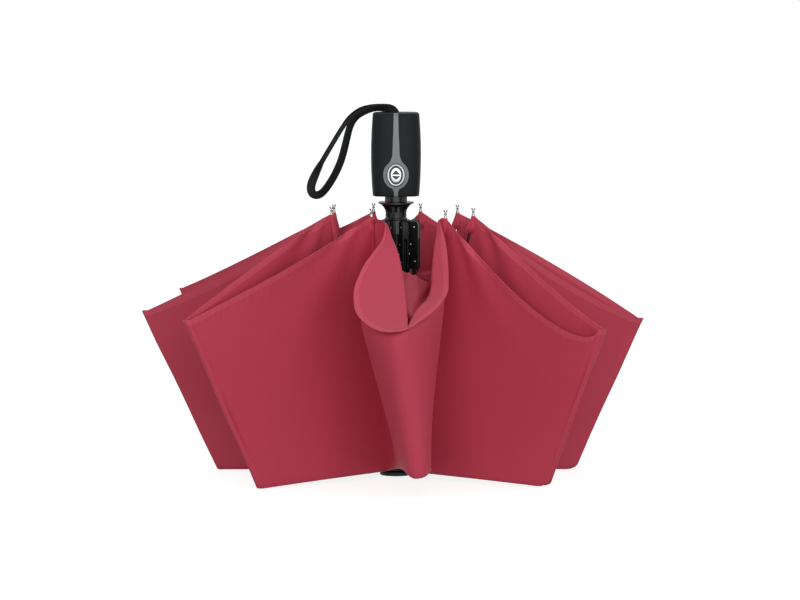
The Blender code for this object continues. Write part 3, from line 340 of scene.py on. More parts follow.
def resampled(line, count):
    """Even steps along a line of points."""
    lengths = travel(line)
    wanted = np.linspace(0.0, lengths[-1], count)
    return np.stack([np.interp(wanted, lengths, line[:, k]) for k in range(3)], axis=1)


def on_body(made, body, slot, *nodes):
    """Fixes a piece to a moving body and hides the solids that it stands for; slot is not used."""
    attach(made, body)
    if nodes:
        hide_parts(*nodes)


print("mesh helpers ready")

# %% [markdown]
# ## Finishes
#
# The umbrella has few materials, each with its own small-scale life: a soft-touch handle with a faint
# orange peel, a satin grey inlay, lacquered steel ribs, nickel tips, and bright metal on the button.

# %% Plastic and metal finishes
def moulded(name, colour, roughness, grain, depth, **sockets):
    """Moulded plastic: a fine even grain, and a slight unevenness of the gloss."""
    finish = Finish(name, colour, roughness, **sockets)
    place = finish.coordinates()
    cloudy = finish.noise(place, 60.0)
    shades = (tuple(c * share for c in colour) for share in (0.88, 1.14))
    finish.set(base_color=finish.mix(cloudy, *shades), roughness=cloudy * 0.10 + (roughness - 0.05))
    return finish.bump(finish.noise(place, grain, 2.0), depth * MM, 0.35)


def metal(name, colour, roughness, brush=(1.0, 1.0, 1.0)):
    """Drawn or plated metal, its marks stretched along the drawing direction."""
    finish = Finish(name, colour, roughness, 1.0)
    marks = finish.noise(finish.coordinates(brush), 900.0, 2.0)
    wear = finish.noise(finish.coordinates(), 140.0)
    finish.set(base_color=finish.mix(wear, tuple(c * 0.86 for c in colour), colour),
               roughness=marks * 0.08 + wear * 0.08 + (roughness - 0.06))
    return finish.bump(marks, 0.02 * MM, 0.25)


def lacquer(name, colour, drawn):
    """Black lacquer on steel: smooth, with the drawing lines of the strip just showing through."""
    finish = Finish(name, colour, 0.34, coat_roughness=0.12, specular_ior_level=0.25)
    lines = finish.noise(finish.coordinates((1.0, 1.0, drawn)), 700.0, 2.0)
    spots = finish.noise(finish.coordinates(), 85.0, 5.0, 0.7)
    rubbed = finish.ramp(spots, (0.0, 0.0), (0.60, 0.0), (0.78, 1.0))
    finish.set(base_color=finish.mix(rubbed, colour, (0.040, 0.043, 0.047)),
               coat_weight=0.16 - rubbed * 0.14, roughness=lines * 0.12 + rubbed * 0.15 + 0.27)
    return finish.bump(lines, 0.03 * MM, 0.3)


soft_black = moulded("soft_touch_charcoal", (0.0062, 0.0076, 0.0092), 0.50, 2600.0, 0.03,
                     specular_ior_level=0.14)
gloss_black = moulded("moulded_black", (0.0070, 0.0082, 0.0092), 0.34, 1500.0, 0.02,
                      specular_ior_level=0.22)
collar_black = moulded("moulded_black_bright", (0.0075, 0.0088, 0.0098), 0.30, 1500.0, 0.02,
                       specular_ior_level=0.36)
inlay_grey = moulded("satin_grey_inlay", (0.165, 0.175, 0.182), 0.36, 2000.0, 0.02)
recess_black = moulded("recess_black", (0.006, 0.007, 0.008), 0.45, 1500.0, 0.02)
ring_chrome = metal("button_ring_chrome", (0.33, 0.34, 0.35), 0.24)
silver = metal("button_silver", (0.62, 0.63, 0.65), 0.30, (1.0, 1.0, 0.08))
nickel = metal("tip_nickel", (0.46, 0.45, 0.44), 0.26)
spring_steel = metal("spring_steel", (0.50, 0.51, 0.53), 0.26)
rib_black = lacquer("rib_lacquer", (0.012, 0.015, 0.017), 0.03)
tube_black = lacquer("tube_lacquer", (0.010, 0.012, 0.013), 0.02)
print("finishes", len(bpy.data.materials))

# %% [markdown]
# ## The wrist strap
#
# The strap is a flat black webbing loop, 7 mm wide. It comes up through a slot in the handle's top, hangs
# down to the left, turns at the bottom of the loop and goes back in. Its route is given in millimetres from
# the handle's top. A rounded strip is swept along it and twists a little on the way, as limp webbing does.

# %% Strap route and webbing
HANDLE_TOP = 290.8 * MM
STRAP_ROUTE = (
    (-0.5, 2.6, -7.4), (-0.5, 2.6, -4.3), (-1, 2.6, -0.4), (-4, 2.6, 2.5), (-10, 2.6, 3.4), (-18, 2.4, 3),
    (-26, 2, 0), (-32.2, 1.4, -4.2), (-36.4, 0.9, -10.8), (-39, 0.4, -19.8), (-41.4, 0, -29.8),
    (-44.4, 0, -39.8), (-48.6, 0.4, -49.2), (-53.4, 1, -57.4), (-58.6, 1.8, -64), (-63.4, 2.6, -66.4),
    (-67.2, 3.4, -64.4), (-67.8, 4.2, -59), (-65.4, 4.8, -52), (-61.2, 5.2, -43.4), (-55.8, 5.5, -34),
    (-50, 5.8, -24.2), (-43.8, 6, -14), (-37, 6, -4.8), (-28.4, 5.9, 1.5), (-18.6, 5.7, 3.8),
    (-10, 5.6, 3.6), (-4, 5.6, 2.5), (-1, 5.6, -0.4), (-0.5, 5.6, -4.3), (-0.5, 5.6, -7.4),
)
STRAP_WIDTH = 7.0 * MM
STRAP_THICKNESS = 1.2 * MM
# Share of the way along the strap, and its twist there in degrees.
STRAP_TWIST = ((0, 0), (0.03, 0), (0.09, -42), (0.14, -44), (0.30, -34), (0.46, -30), (0.54, 0),
               (0.62, 58), (0.76, 62), (0.90, 44), (0.97, 0), (1, 0))
STRAP_ROWS = 200
EDGE_STEPS = 6
FACE_STEPS = 5

webbing = Finish("nylon_webbing", (0.0060, 0.0068, 0.0076), 0.62, sheen_weight=0.04, sheen_roughness=0.4,
                 specular_ior_level=0.18)
weave_place = webbing.coordinates(source="UV")
slanted = webbing.node("ShaderNodeMapping", {"Vector": weave_place, "Rotation": (0.0, 0.0, 0.7)})
picks = webbing.waves(weave_place, 520.0, "Y")
ends = webbing.waves(slanted, 360.0, "X")
fuzz = webbing.noise(weave_place, 900.0, 2.0)
yarn = picks * 0.5 + fuzz * 0.5
webbing.set(base_color=webbing.mix(yarn, (0.003, 0.0036, 0.0042), (0.012, 0.0134, 0.015)),
            roughness=fuzz * 0.15 + 0.55)
webbing.bump(picks * 0.6 + ends * 0.6 + fuzz * 0.3, 0.14 * MM, 0.7)


def strip_section(width, thickness):
    """A flat section with round edges."""
    round_edge = thickness / 2
    half = width / 2 - round_edge
    points = []
    for centre, start in ((half, -90.0), (-half, 90.0)):
        for i in range(EDGE_STEPS + 1):
            angle = math.radians(start + 180.0 * i / EDGE_STEPS)
            points.append((centre + round_edge * math.cos(angle), round_edge * math.sin(angle)))
        for i in range(1, FACE_STEPS):
            points.append((centre - 2 * centre * i / FACE_STEPS, math.copysign(round_edge, centre)))
    return points


route = resampled(through(np.array(STRAP_ROUTE) * MM + (0.0, 0.0, HANDLE_TOP)), STRAP_ROWS)
section = strip_section(STRAP_WIDTH, STRAP_THICKNESS)
rings = []
for share, place, run in zip(np.linspace(0.0, 1.0, STRAP_ROWS), route, unit(np.gradient(route, axis=0))):
    wide = unit(np.cross((0.0, 1.0, 0.0), run))
    turn = math.radians(np.interp(share, *zip(*STRAP_TWIST)))
    along = wide * math.cos(turn) + np.cross(run, wide) * math.sin(turn)
    up = np.cross(run, along)
    rings.append([place + along * u + up * v for u, v in section])
rounds = travel(np.array([(u, v, 0.0) for u, v in section] + [(*section[0], 0.0)]))[:-1]
strap_uvs = [(across, down) for down in travel(route) for across in rounds]
strap_faces = grid_faces(STRAP_ROWS, len(section), closed=True, capped=True)
strap = mesh_from("wrist_strap_webbing", np.array(rings).reshape(-1, 3), strap_faces, webbing, strap_uvs)
on_body(strap, "handle", "webbing", "wrist_strap")

# %% [markdown]
# ## The cloth
#
# Umbrella cloth is pongee: fine, plain woven, with a satin-matte face. From a step away it is one wine red
# that turns deep in the folds. Up close there is the weave, a slight unevenness of the dye, and soft creases
# from folding. The turned hem takes a little more light.

# %% Cloth finish
def pongee(name, light, deep):
    finish = Finish(name, light, 0.60, sheen_weight=0.05, sheen_roughness=0.45,
                    sheen_tint=(1.0, 0.45, 0.52, 1.0), specular_ior_level=0.25)
    flat = finish.coordinates(source="UV")
    dye = finish.noise(flat, 14.0, 2.0)
    slub = finish.noise(finish.coordinates((900.0, 120.0, 1.0), "UV"), 1.0, 2.0)
    weave = finish.waves(flat, 430.0, "X") * 0.12 + finish.waves(flat, 430.0, "Y") * 0.12
    creases = finish.noise(flat, 30.0, 4.0, 0.6)
    from_hem = finish.node("ShaderNodeSeparateXYZ", {"Vector": flat}, "Y")
    near_hem = finish.ramp(from_hem * 55.0, (0.0, 1.0), (0.5, 0.4), (1.0, 0.0))
    puckers = finish.noise(finish.coordinates((170.0, 24.0, 1.0), "UV"), 1.0, 1.0) * near_hem
    tone = finish.node("ShaderNodeClamp", {"Value": dye * 0.6 + slub * 0.3 + 0.1})
    finish.set(base_color=finish.mix(tone, deep, light), roughness=dye * 0.12 + 0.54)
    return finish.bump(weave + creases * 1.4 + puckers * 5.0, 0.30 * MM, 0.60)


cloth = pongee("pongee_cloth", (0.600, 0.064, 0.110), (0.530, 0.048, 0.089))
hem_cloth = pongee("pongee_hem", (0.670, 0.086, 0.137), (0.590, 0.066, 0.112))
thread = Finish("hem_thread", (0.62, 0.06, 0.10), 0.5, sheen_weight=0.05)
ply = thread.noise(thread.coordinates(), 2400.0, 2.0)
thread.set(base_color=thread.mix(ply, (0.52, 0.05, 0.09), (0.68, 0.09, 0.13)), roughness=ply * 0.2 + 0.4)
thread.bump(ply, 0.05 * MM, 0.5)
print("cloth finishes ready")

# %% [markdown]
# ## Where the cloth hangs
#
# The ribs and pleats repeat the sizes of the solids. Azimuths turn from +X towards +Y. A reach or a height
# is a share of the sizes named first. A sag is how far a half pleat's hem hangs through.

# %% Places of ribs and pleats
TIP_TOP = 216.0 * MM
TIP_SPREAD = 65.0 * MM
CLOTH_CORNER = 209.0 * MM
BESIDE_ROD = 0.5 * MM
HEM_REACH = 218.0 * MM
FOLD_REACH = 150.0 * MM
FOLD_LIFT = 1.1 * MM
FOOT_LIFT = 6.2 * MM
RIB_FOOT = 20.6 * MM
ROD_RADIUS = 1.0 * MM
SAG = 22.0 * MM
FOLD_ROUND = 3.4 * MM
CORNER_LIFT = {"right_front": 6.0 * MM, "right": 6.0 * MM}
CORNER_RUN = 12.0 * MM

# Name, azimuth at the crown, azimuth of the tip, reach of the tip.
RIBS = (
    ("right", 22.5, 13.7, 0.780), ("right_back", 67.5, 51.8, 0.490), ("left_back", 112.5, 123.8, 0.500),
    ("left", 157.5, 162.2, 0.803), ("left_front", 202.5, 188.8, 0.801), ("front_left", 247.5, 234.2, 0.512),
    ("front_right", 292.5, 311.1, 0.918), ("right_front", 337.5, 341.2, 1.000),
)
# Name, azimuth, reach and height of the hem's corner, azimuth and reach of the bottom fold, two sags.
PLEATS = (
    ("right_back", 41.2, 0.970, 0.580, 40.8, 0.970, 0.20, 0.20),
    ("back", 88.6, 0.915, 0.610, 88.8, 0.935, 0.30, 0.30),
    ("left_back", 144.5, 1.000, 0.643, 142.7, 0.990, 0.20, 0.10),
    ("left", 166.2, 0.968, 0.590, 166.3, 0.990, 0.10, 0.25),
    ("left_front", 221.0, 0.998, 0.637, 221.6, 0.970, -0.12, 0.10),
    None,
    ("right_front", 320.4, 0.970, 0.600, 324.5, 1.000, 1.00, 0.15),
    ("right", 14.0, 0.945, 0.562, 13.8, 1.010, 0.35, -0.15),
)


def seam(rib):
    """A rib's seam: where the cloth turns under the rib's foot, and the corner at the tip."""
    _, azimuth, tip_azimuth, share = rib
    reach = share * TIP_SPREAD + ROD_RADIUS + BESIDE_ROD
    return polar(azimuth, RIB_FOOT, FOOT_LIFT), polar(tip_azimuth, reach, CLOTH_CORNER)


print(len(RIBS), "ribs and", len(PLEATS), "pleats")

# %% [markdown]
# ## Half a pleat at a time
#
# Each panel of the canopy hangs from two ribs and folds outwards between them. When the runner moves, the
# cloth at a rib must follow that rib while the fold's far edge stays. So every pleat is made in two halves
# that meet on the fold's edge.
# A half is drawn with a few guide lines that run from the rib to the fold's edge, and rows of points fill
# the space between them. The first half is beside the pleat's first rib, where side is -1.

# %% Guide lines of a half pleat
COLUMNS = 46
EDGE_COLUMNS = 10
BAND_WIDTH = 4.6 * MM
STEEP_SAG = 0.4
# How far a half pleat bows sideways into its pleat, for the one that does.
BOWED = {("back", -1): 18.0 * MM}
BOW_PEAK = 4.0 / 27.0
# Under the rib's foot: depth in the pleat, rise, and the reach and height of the rib's end, in millimetres.
UNDER_FOOT = (
    (0.5, -0.55, 19.6, 5.2), (1.1, -0.50, 17.6, 4.8), (1.7, 0.10, 15.6, 5.4), (2.0, 1.8, 14.4, 7.4),
)


def sagging(t, share):
    """A curve that is 0 at both ends and 1 where it is lowest; more sag makes it later and steeper."""
    late = 1.0 - STEEP_SAG * abs(share)
    peak = (1.0 / (1.0 + late)) * (late / (1.0 + late)) ** late
    return t * (1.0 - t) ** late / peak


def side_line(rib_point, corner, azimuth, side, sag=0.0, bow=0.0):
    """From the rib out to the fold's rounded edge."""
    out = polar(azimuth, 1.0, 0.0)
    across = polar(azimuth + 90.0, 1.0, 0.0) * side
    middle = corner - out * FOLD_ROUND
    t = np.linspace(0.0, 1.0, COLUMNS - EDGE_COLUMNS, endpoint=False)[:, None]
    line = rib_point * (1 - t) + (middle + across * FOLD_ROUND) * t
    line[:, 2] -= SAG * sag * sagging(t[:, 0], sag)
    line -= across * bow * t * (1 - t) ** 2 / BOW_PEAK
    angles = np.linspace(math.pi / 2, 0.0, EDGE_COLUMNS)[:, None]
    return np.concatenate([line, middle + (out * np.cos(angles) + across * np.sin(angles)) * FOLD_ROUND])


def under_foot(line, side, rib):
    """The turn of the cloth under the rib's foot, from the bottom fold to the inside of the pleat."""
    run = unit(np.gradient(line, axis=0) * (1.0, 1.0, 0.0))
    inwards = np.cross(run, (0.0, 0.0, side))
    fade = np.linspace(1.0, 0.0, len(line))[:, None] ** 2
    turns = []
    for depth, rise, reach, height in UNDER_FOOT:
        moved = line + inwards * depth * MM + (0.0, 0.0, rise * MM)
        turns.append(moved + (polar(rib[1], reach * MM, height * MM) - moved[0]) * fade)
    return turns


def plain_half(rib, pleat, side):
    name, hem_azimuth, hem_share, height_share, fold_azimuth, fold_share, *sags = pleat
    foot, top = seam(rib)
    corner = polar(hem_azimuth, hem_share * HEM_REACH, height_share * TIP_TOP)
    hem = side_line(top, corner, hem_azimuth, side, sags[side > 0], BOWED.get((name, side), 0.0))
    fold = side_line(foot, polar(fold_azimuth, fold_share * FOLD_REACH, FOLD_LIFT), fold_azimuth, side)
    left = np.clip((travel(fold)[-1] - travel(fold)) / CORNER_RUN, 0.0, 1.0)
    fold[:, 2] += CORNER_LIFT.get(name, 0.0) * (1.0 - left) ** 2
    return [hem, fold]


print(COLUMNS, "columns in each half")

# %% [markdown]
# ## The wide pleat at the front
#
# The pleat that faces the camera hangs open like a lily: its hem rolls outwards over a crest on both sides,
# and one looks in past the crests at the ribs. Its guide lines are drawn through points in millimetres: the
# hem, the crest over which the cloth rolls, the wall hidden under the roll, and the bottom fold.

# %% Guide lines of the front pleat
LEFT_HEM = (
    (-9.1, -43, 205.6), (-10.6, -58, 193.9), (-17.7, -75, 185), (-25.1, -88, 175.8), (-30.9, -103, 164.1),
    (-33.1, -115, 155.4), (-31.4, -135, 143.9), (-24.7, -155, 137.2), (-15.3, -172, 132.9),
    (-4.9, -183, 132.1), (3.5, -184, 133), (9.5, -181.5, 134.6),
)
LEFT_CREST = (
    (-8.3, -42.5, 206.3), (-3.5, -58, 195.6), (1.2, -76, 185.3), (4.4, -96, 172.3), (6.7, -122, 157.5),
    (8.3, -146, 145.2), (9.2, -168, 137.2), (9.6, -178.6, 136.4),
)
RIGHT_HEM = (
    (34.5, -47, 208.8), (38.3, -66, 196.1), (40.5, -90, 182.3), (41.1, -112, 166.9), (40.2, -128, 158.1),
    (34.7, -145, 150.3), (26.8, -160, 143.9), (16.7, -175, 138.3), (9.5, -181.5, 134.6),
)
RIGHT_CREST = (
    (34.3, -46.6, 209.2), (32.8, -58, 199.8), (30.4, -74, 187), (28.7, -92, 172.2), (27.9, -108, 161.4),
    (24.7, -125, 153.2), (17.6, -142, 147.6), (11.4, -166, 139.4), (9.6, -178.6, 136.4),
)
# Azimuth, reach and height of the bottom fold, from the left rib round the front to the right rib.
FUNNEL_FOLD = (
    (268.5, 0.300, 0.050), (271.0, 0.500, 0.066), (272.0, 0.700, 0.080), (272.6, 0.860, 0.088),
    (273.6, 0.965, 0.080), (275.6, 1.000, 0.069), (279.0, 0.985, 0.075), (281.8, 0.895, 0.088),
    (282.8, 0.720, 0.080), (283.0, 0.400, 0.056),
)
FUNNEL_FRONT = 6
ROLL = 0.8 * MM
ROLL_IN = 1.6 * MM
WALL_DEPTH = 2.6 * MM
FRONT_RIBS = RIBS[5:7]


def halved(whole, cut, side):
    """One side's part of a smooth line round the front, from its rib to the point where the halves meet."""
    cut *= STEPS_BETWEEN
    return resampled(whole[:cut + 1] if side < 0 else whole[cut:][::-1], COLUMNS)


def across_front(left_points, right_points, drop, side):
    """A smooth line from one tip over the front to the other, and one side's half of it."""
    first, last = (top + unit(foot - top) * drop for foot, top in map(seam, FRONT_RIBS))
    left, right = np.array(left_points) * MM, np.array(right_points) * MM
    return halved(through([first, *left, *right[-2::-1], last]), len(left), side)


def front_half(rib, side):
    """Guide lines of the front pleat's half: hem, three over the crest, one under the roll, and the fold."""
    foot, top = seam(rib)
    hem = across_front(LEFT_HEM, RIGHT_HEM, 0.0, side)
    crest = across_front(LEFT_CREST, RIGHT_CREST, ROLL, side)
    u = np.linspace(0.0, 1.0, COLUMNS)[:, None]
    face = unit(np.hstack([(1 - u) * side * 0.28, np.full_like(u, -0.50), np.full_like(u, 0.82)]))
    roll = unit(crest - hem)
    rolled = [crest - roll * ROLL, crest + roll * ROLL * 0.4 - face * ROLL,
              crest - roll * ROLL - face * ROLL * 2, hem + roll * ROLL_IN - face * WALL_DEPTH]
    for k, line in enumerate(rolled):
        line[0] = top + unit(foot - top) * ROLL * (k + 1) * 0.6
    first, last = (seam(front)[0] for front in FRONT_RIBS)
    bottom = through([first, *(polar(a, r * FOLD_REACH, h * TIP_TOP) for a, r, h in FUNNEL_FOLD), last])
    return [hem, *rolled, halved(bottom, FUNNEL_FRONT, side)]


print("front pleat drawn")

# %% [markdown]
# ## Filling a sheet and letting it hang
#
# Rows of points run between the guide lines. Then the flat rows get what cloth has: it bellies out a little
# between the hem and the bottom fold, and gathers fan out from the tip, where the corner is sewn to the rib.

# %% Outer sheets with hem bands
BELLY = 3.2 * MM
GATHER = 2.6 * MM
GATHER_START = 9.0 * MM
GATHER_FADE = 48.0 * MM
SLACK = 1.5 * MM
CLOTH_THICKNESS = 0.30 * MM
BAND_THICKNESS = 0.56 * MM
SHEET_SHARP = 75.0
# The blend's direction rises by this much per step towards the shaft.
BLEND_RISE = 0.49
# The moving plane goes through the seam, this share of the way from the foot to the tip.
BLEND_SHARE = 0.38
FRONT_ROWS = [12, 2, 2, 10, 34]
PLAIN_ROWS = [40]
# The front pleat is softened from this many rows above its long wall, in so many rounds.
SOFT_ABOVE = 7
SOFT_ROUNDS = 14
# Gathers fade at the sheet's sides and above the bottom fold; more is faster.
SIDE_FADE = 9.0
FOLD_FADE = 3.0
FAN_WAVES = 10.0


def fill(guides, counts, band=True):
    """Rows between guide lines; the first three rows stay within the hem band."""
    rows = []
    for a, b, count in zip(guides, guides[1:], counts):
        start, first = a, 0
        if band and not rows:
            length = np.linalg.norm(b - a, axis=1, keepdims=True) + 1e-9
            rows = [a + (b - a) * np.minimum(BAND_WIDTH * s / length, 0.5 * s) for s in (0, 0.5, 1)]
            start, first = rows[-1], 1
        rows += [start + (b - start) * (i / count) for i in range(first, count)]
    return np.array(rows + [guides[-1]])


def soften(grid, first, last, rounds):
    for _ in range(rounds):
        grid[first:last] = (grid[first - 1:last - 1] + grid[first:last] * 2 + grid[first + 1:last + 1]) / 4
    return grid


def normals(grid, side):
    return unit(np.cross(np.gradient(grid, axis=1), np.gradient(grid, axis=0)) * -side)


def shares_of(grid, lower_row):
    """Two grids of shares: along each row, and down to the lower row."""
    u = np.linspace(0.0, 1.0, grid.shape[1])[None, :]
    return u, np.clip(np.arange(len(grid)) / lower_row, 0.0, 1.0)[:, None]


def hang(grid, side, number, lower_row):
    """Adds the belly and the gathers to the rows above lower_row."""
    u, v = shares_of(grid, lower_row)
    away = np.linalg.norm(grid - grid[0, 0], axis=2)
    fan = np.arctan2(u, v + 0.04)
    fades = np.minimum(u * SIDE_FADE, 1.0) * np.minimum((1.0 - u) * SIDE_FADE, 1.0)
    fades = fades * np.minimum((1.0 - v) * FOLD_FADE, 1.0)
    belly = BELLY * np.sin(math.pi * v) * np.sin(math.pi * np.minimum(u * 1.02, 1.0)) ** 1.3
    gathers = GATHER * np.exp(-away / GATHER_FADE) * np.sin(fan * FAN_WAVES + number * 1.7)
    gathers *= np.minimum(away / GATHER_START, 1.0)
    slack = SLACK * np.sin(u * 7.0 + v * 4.0 + number) * np.sin(v * 5.0 + number * 2.3)
    return grid + normals(grid, side) * (belly * (v < 1.0) + (gathers + slack) * fades)[:, :, None]


def sheet_uvs(grid):
    """Metres along the rows and down the columns."""
    across = [travel(row) for row in grid]
    down = [travel(column) for column in grid.transpose(1, 0, 2)]
    return np.stack([np.array(across), np.array(down).T], axis=2).reshape(-1, 2)


def sheet_from(name, grid, side, finish, thickness):
    """A cloth piece with a thickness, and the area of its cloth."""
    faces = grid_faces(*grid.shape[:2])
    if side > 0:
        faces = [face[::-1] for face in faces]
    made = mesh_from(name, grid.reshape(-1, 3), faces, finish, sheet_uvs(grid))
    area = round(float(sum(face.area for face in made.data.polygons)), 5)
    skin = made.modifiers.new("cloth", "SOLIDIFY")
    skin.thickness = thickness
    skin.offset = 0.0
    baked(made).data.set_sharp_from_angle(angle=math.radians(SHEET_SHARP))
    return made, area


def follow_rib(made, rib, start, end):
    """Bakes the object's transform into its mesh; the rib and the start and end planes are not used."""
    "rib_" + rib[0]
    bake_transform(made)


def blend_planes(rib):
    """A plane that no fold's edge is past and one that the rib's seam is past, square to one direction."""
    direction = unit(polar(rib[1], -1.0, BLEND_RISE))
    foot, top = seam(rib)
    start = max(point @ direction for point in edges[rib[0]])
    end = (foot * (1.0 - BLEND_SHARE) + top * BLEND_SHARE) @ direction
    return direction * start, direction * end


edges = {rib[0]: [] for rib in RIBS}
outlines = []
for k, pleat in enumerate(PLEATS):
    for side, rib in ((-1, RIBS[k]), (1, RIBS[(k + 1) % len(RIBS)])):
        guides = plain_half(rib, pleat, side) if pleat else front_half(rib, side)
        edges[rib[0]] += [guides[0][-1], guides[-1][-1]]
        name = pleat[0] if pleat else "front"
        outlines.append((name, rib, side, guides, under_foot(guides[-1], side, rib)))
print(len(outlines), "half pleats")

# %% Make the outer sheets
HALVES = {-1: "first", 1: "last"}
sheets = []
for number, (name, rib, side, guides, turns) in enumerate(outlines):
    grid = fill(guides + turns, (FRONT_ROWS if name == "front" else PLAIN_ROWS) + [1] * len(turns))
    fold_row = len(grid) - len(turns)
    if name == "front":
        grid = soften(grid, fold_row - FRONT_ROWS[-1] - SOFT_ABOVE, fold_row - 1, SOFT_ROUNDS)
        seam_line = np.linspace(guides[0][0], guides[-1][0], fold_row)
        grid[:, 0] = np.concatenate([seam_line, [turn[0] for turn in turns]])
    else:
        grid = hang(grid, side, number, fold_row - 1)
    title = f"{name}_{HALVES[side]}"
    piece, area = sheet_from(f"canopy_{title}", grid, side, cloth, CLOTH_THICKNESS)
    band, _ = sheet_from(f"hem_{title}", grid[:3], side, hem_cloth, BAND_THICKNESS)
    for made in (piece, band):
        follow_rib(made, rib, *blend_planes(rib))
    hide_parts(f"canopy_{name}")
    sheets.append((title, rib, grid[:3], piece, band, area))
print("cloth in the outer sheets", round(sum(sheet[-1] for sheet in sheets), 3), "m2")

# %% [markdown]
# ## The cloth folded up inside
#
# The canopy is folded in three. Inside each pleat the cloth comes up again from the bottom fold, turns over,
# and goes down to the crown. Seen from above it is a star of sharp folds round the shaft. The planes worked
# out for each half measure two things together: how far a point is from the edge's plane, and how far it is
# from the slanting line of that edge, towards the shaft.

# %% Inner folds
INNER_COLUMNS = 22
INNER_ROWS = (18, 2, 2, 14)
INNER_THICKNESS = 0.26 * MM
INNER_TOP = 160.0 * MM
INNER_REACH = 79.0 * MM
FRONT_INNER_TOP = 138.0 * MM
FRONT_INNER_REACH = 52.0 * MM
# Reach of the folds beside the rib: outer wall, top edge, inner wall, and the seam at the crown.
VALLEY, TOP_EDGE, INNER_WALL, CROWN_SEAM = 13.9 * MM, 13.5 * MM, 13.15 * MM, 12.4 * MM
VALLEY_FOOT = 7.6 * MM
SEAT = 1.5 * MM
EDGE_RISE = 0.8 * MM
CROWN_LINE = 14.5 * MM
CROWN_REACH = 14.0 * MM
KNEE_HEIGHT = 87.0 * MM
BESIDE_RIB = 1.2 * MM
RIPPLE = 1.2 * MM
MEASURE_SHARE = 0.55
# Degrees that an inner fold's top leans aside, so that it stays between the outer sheets.
INNER_TURN = {"right_front": -4.1}


def vee(rib_azimuth, radius, corner, side, height):
    """From a flat seat on the rib straight out to a sharp corner."""
    turn = math.degrees(SEAT / radius) * -side
    seat = [polar(rib_azimuth, radius, height), polar(rib_azimuth + turn, radius, height)]
    return np.concatenate([seat[:1], resampled(np.array([seat[1], corner]), INNER_COLUMNS - 1)])


def inner_planes(rib, low, top, crown, rib_line):
    """Blend planes with no movement along the edge through low, top and crown."""
    out = unit(top * (1.0, 1.0, 0.0))
    aside = unit(np.cross(top - low, crown - low))
    aside *= math.copysign(1.0, (rib_line[0] - low) @ aside)
    nearest = min((point - low) @ aside for point in rib_line) - BESIDE_RIB
    inward = (0.0, 0.0, (top - crown) @ out / (top[2] - crown[2])) - out
    knee = polar(rib[1], VALLEY, KNEE_HEIGHT)
    measure = MEASURE_SHARE * (aside / nearest + inward / ((knee - crown) @ inward))
    return crown, crown + measure / (measure @ measure)


def inner_half(number, name, rib, side, guides, turns):
    azimuth = rib[1]
    low = guides[-1][-1]
    reach = math.hypot(low[0], low[1])
    out = polar(math.degrees(math.atan2(low[1], low[0])) + INNER_TURN.get(name, 0.0), 1.0, 0.0)
    height, spread = INNER_TOP, INNER_REACH * reach / FOLD_REACH
    if name == "front":
        height, spread = FRONT_INNER_TOP, FRONT_INNER_REACH
    bottom = resampled(turns[-2], INNER_COLUMNS) + (0.0, 0.0, 0.3 * MM)
    bottom[0] = polar(azimuth, VALLEY, VALLEY_FOOT)
    corner = out * spread + (0.0, 0.0, height)
    crown_corner = out * CROWN_REACH + (0.0, 0.0, CROWN_LINE)
    top = vee(azimuth, VALLEY, corner, side, height)
    edge = vee(azimuth, TOP_EDGE, corner - out * MM + (0.0, 0.0, MM), side, height + EDGE_RISE)
    back = vee(azimuth, INNER_WALL, corner - out * 2 * MM, side, height)
    crown = vee(azimuth, CROWN_SEAM, crown_corner, side, CROWN_LINE)
    grid = fill([bottom, top, edge, back, crown], INNER_ROWS, band=False)
    u, v = shares_of(grid, len(grid) - 1)
    ripple = RIPPLE * np.sin(u * math.pi) * np.sin(v * 11.0 + number * 1.3 + u * 5.0)
    grid = grid + normals(grid, side) * ripple[:, :, None]
    made, area = sheet_from(f"inner_fold_{name}_{HALVES[side]}", grid, side, cloth, INNER_THICKNESS)
    rib_line = (bottom[0], top[0], crown[0])
    follow_rib(made, rib, *inner_planes(rib, bottom[-1], corner, crown_corner, rib_line))
    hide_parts("canopy_inner_folds")
    return area


folded = sum(inner_half(number, *outline) for number, outline in enumerate(outlines))
print("cloth in the inner folds", round(folded, 3), "m2")

# %% [markdown]
# ## The lobe in the mouth of the front pleat
#
# Between the two rolled hems one sees a loose lobe of cloth that bulges up in front of the shaft. Its
# creases run together at a pinched spot, and a curved hollow crosses it on the right.

# %% Front lobe
LOBE_LINES = (
    ((-6, -34, 118), (-8, -62, 124), (0, -108, 128), (13.5, -138, 128), (25, -112, 127), (29, -64, 124),
     (20, -30, 118)),
    ((-8, -27, 150), (-8, -60, 152), (0, -106, 149), (13.5, -141, 141), (25, -112, 146), (31, -62, 149),
     (21, -26, 150)),
    ((-7, -22, 163), (-5.5, -33, 167), (1, -44, 169), (9, -48, 168), (19, -46, 163.5), (29.5, -36, 155.5),
     (23, -21, 157)),
    ((-5, -18, 160), (-2, -24, 161), (3, -31, 162), (10, -34, 161), (17, -33, 158), (24, -28, 152),
     (19, -18, 153)),
)
LOBE_COLUMNS = 64
LOBE_ROWS = (8, 26, 6)
PINCH = np.array((14, -24, 166)) * MM
PINCH_LIFT = 6.0 * MM
PINCH_FADE = 30.0 * MM
CREASE = 1.6 * MM
HOLLOW_PATH = ((30, 153), (22.5, 150), (17.5, 146.5), (15.8, 139))
HOLLOW_DEPTH = 4.5 * MM
HOLLOW_WIDTH = 3.0 * MM


def near_path(points, path):
    """Distance, as seen from the front, to a line of points."""
    found = np.full(points.shape[:2], 1.0)
    seen = points[:, :, ::2]
    for a, b in zip(path, path[1:]):
        t = np.clip((seen - a) @ (b - a) / ((b - a) @ (b - a)), 0.0, 1.0)[:, :, None]
        found = np.minimum(found, np.linalg.norm(seen - (a + (b - a) * t), axis=2))
    return found


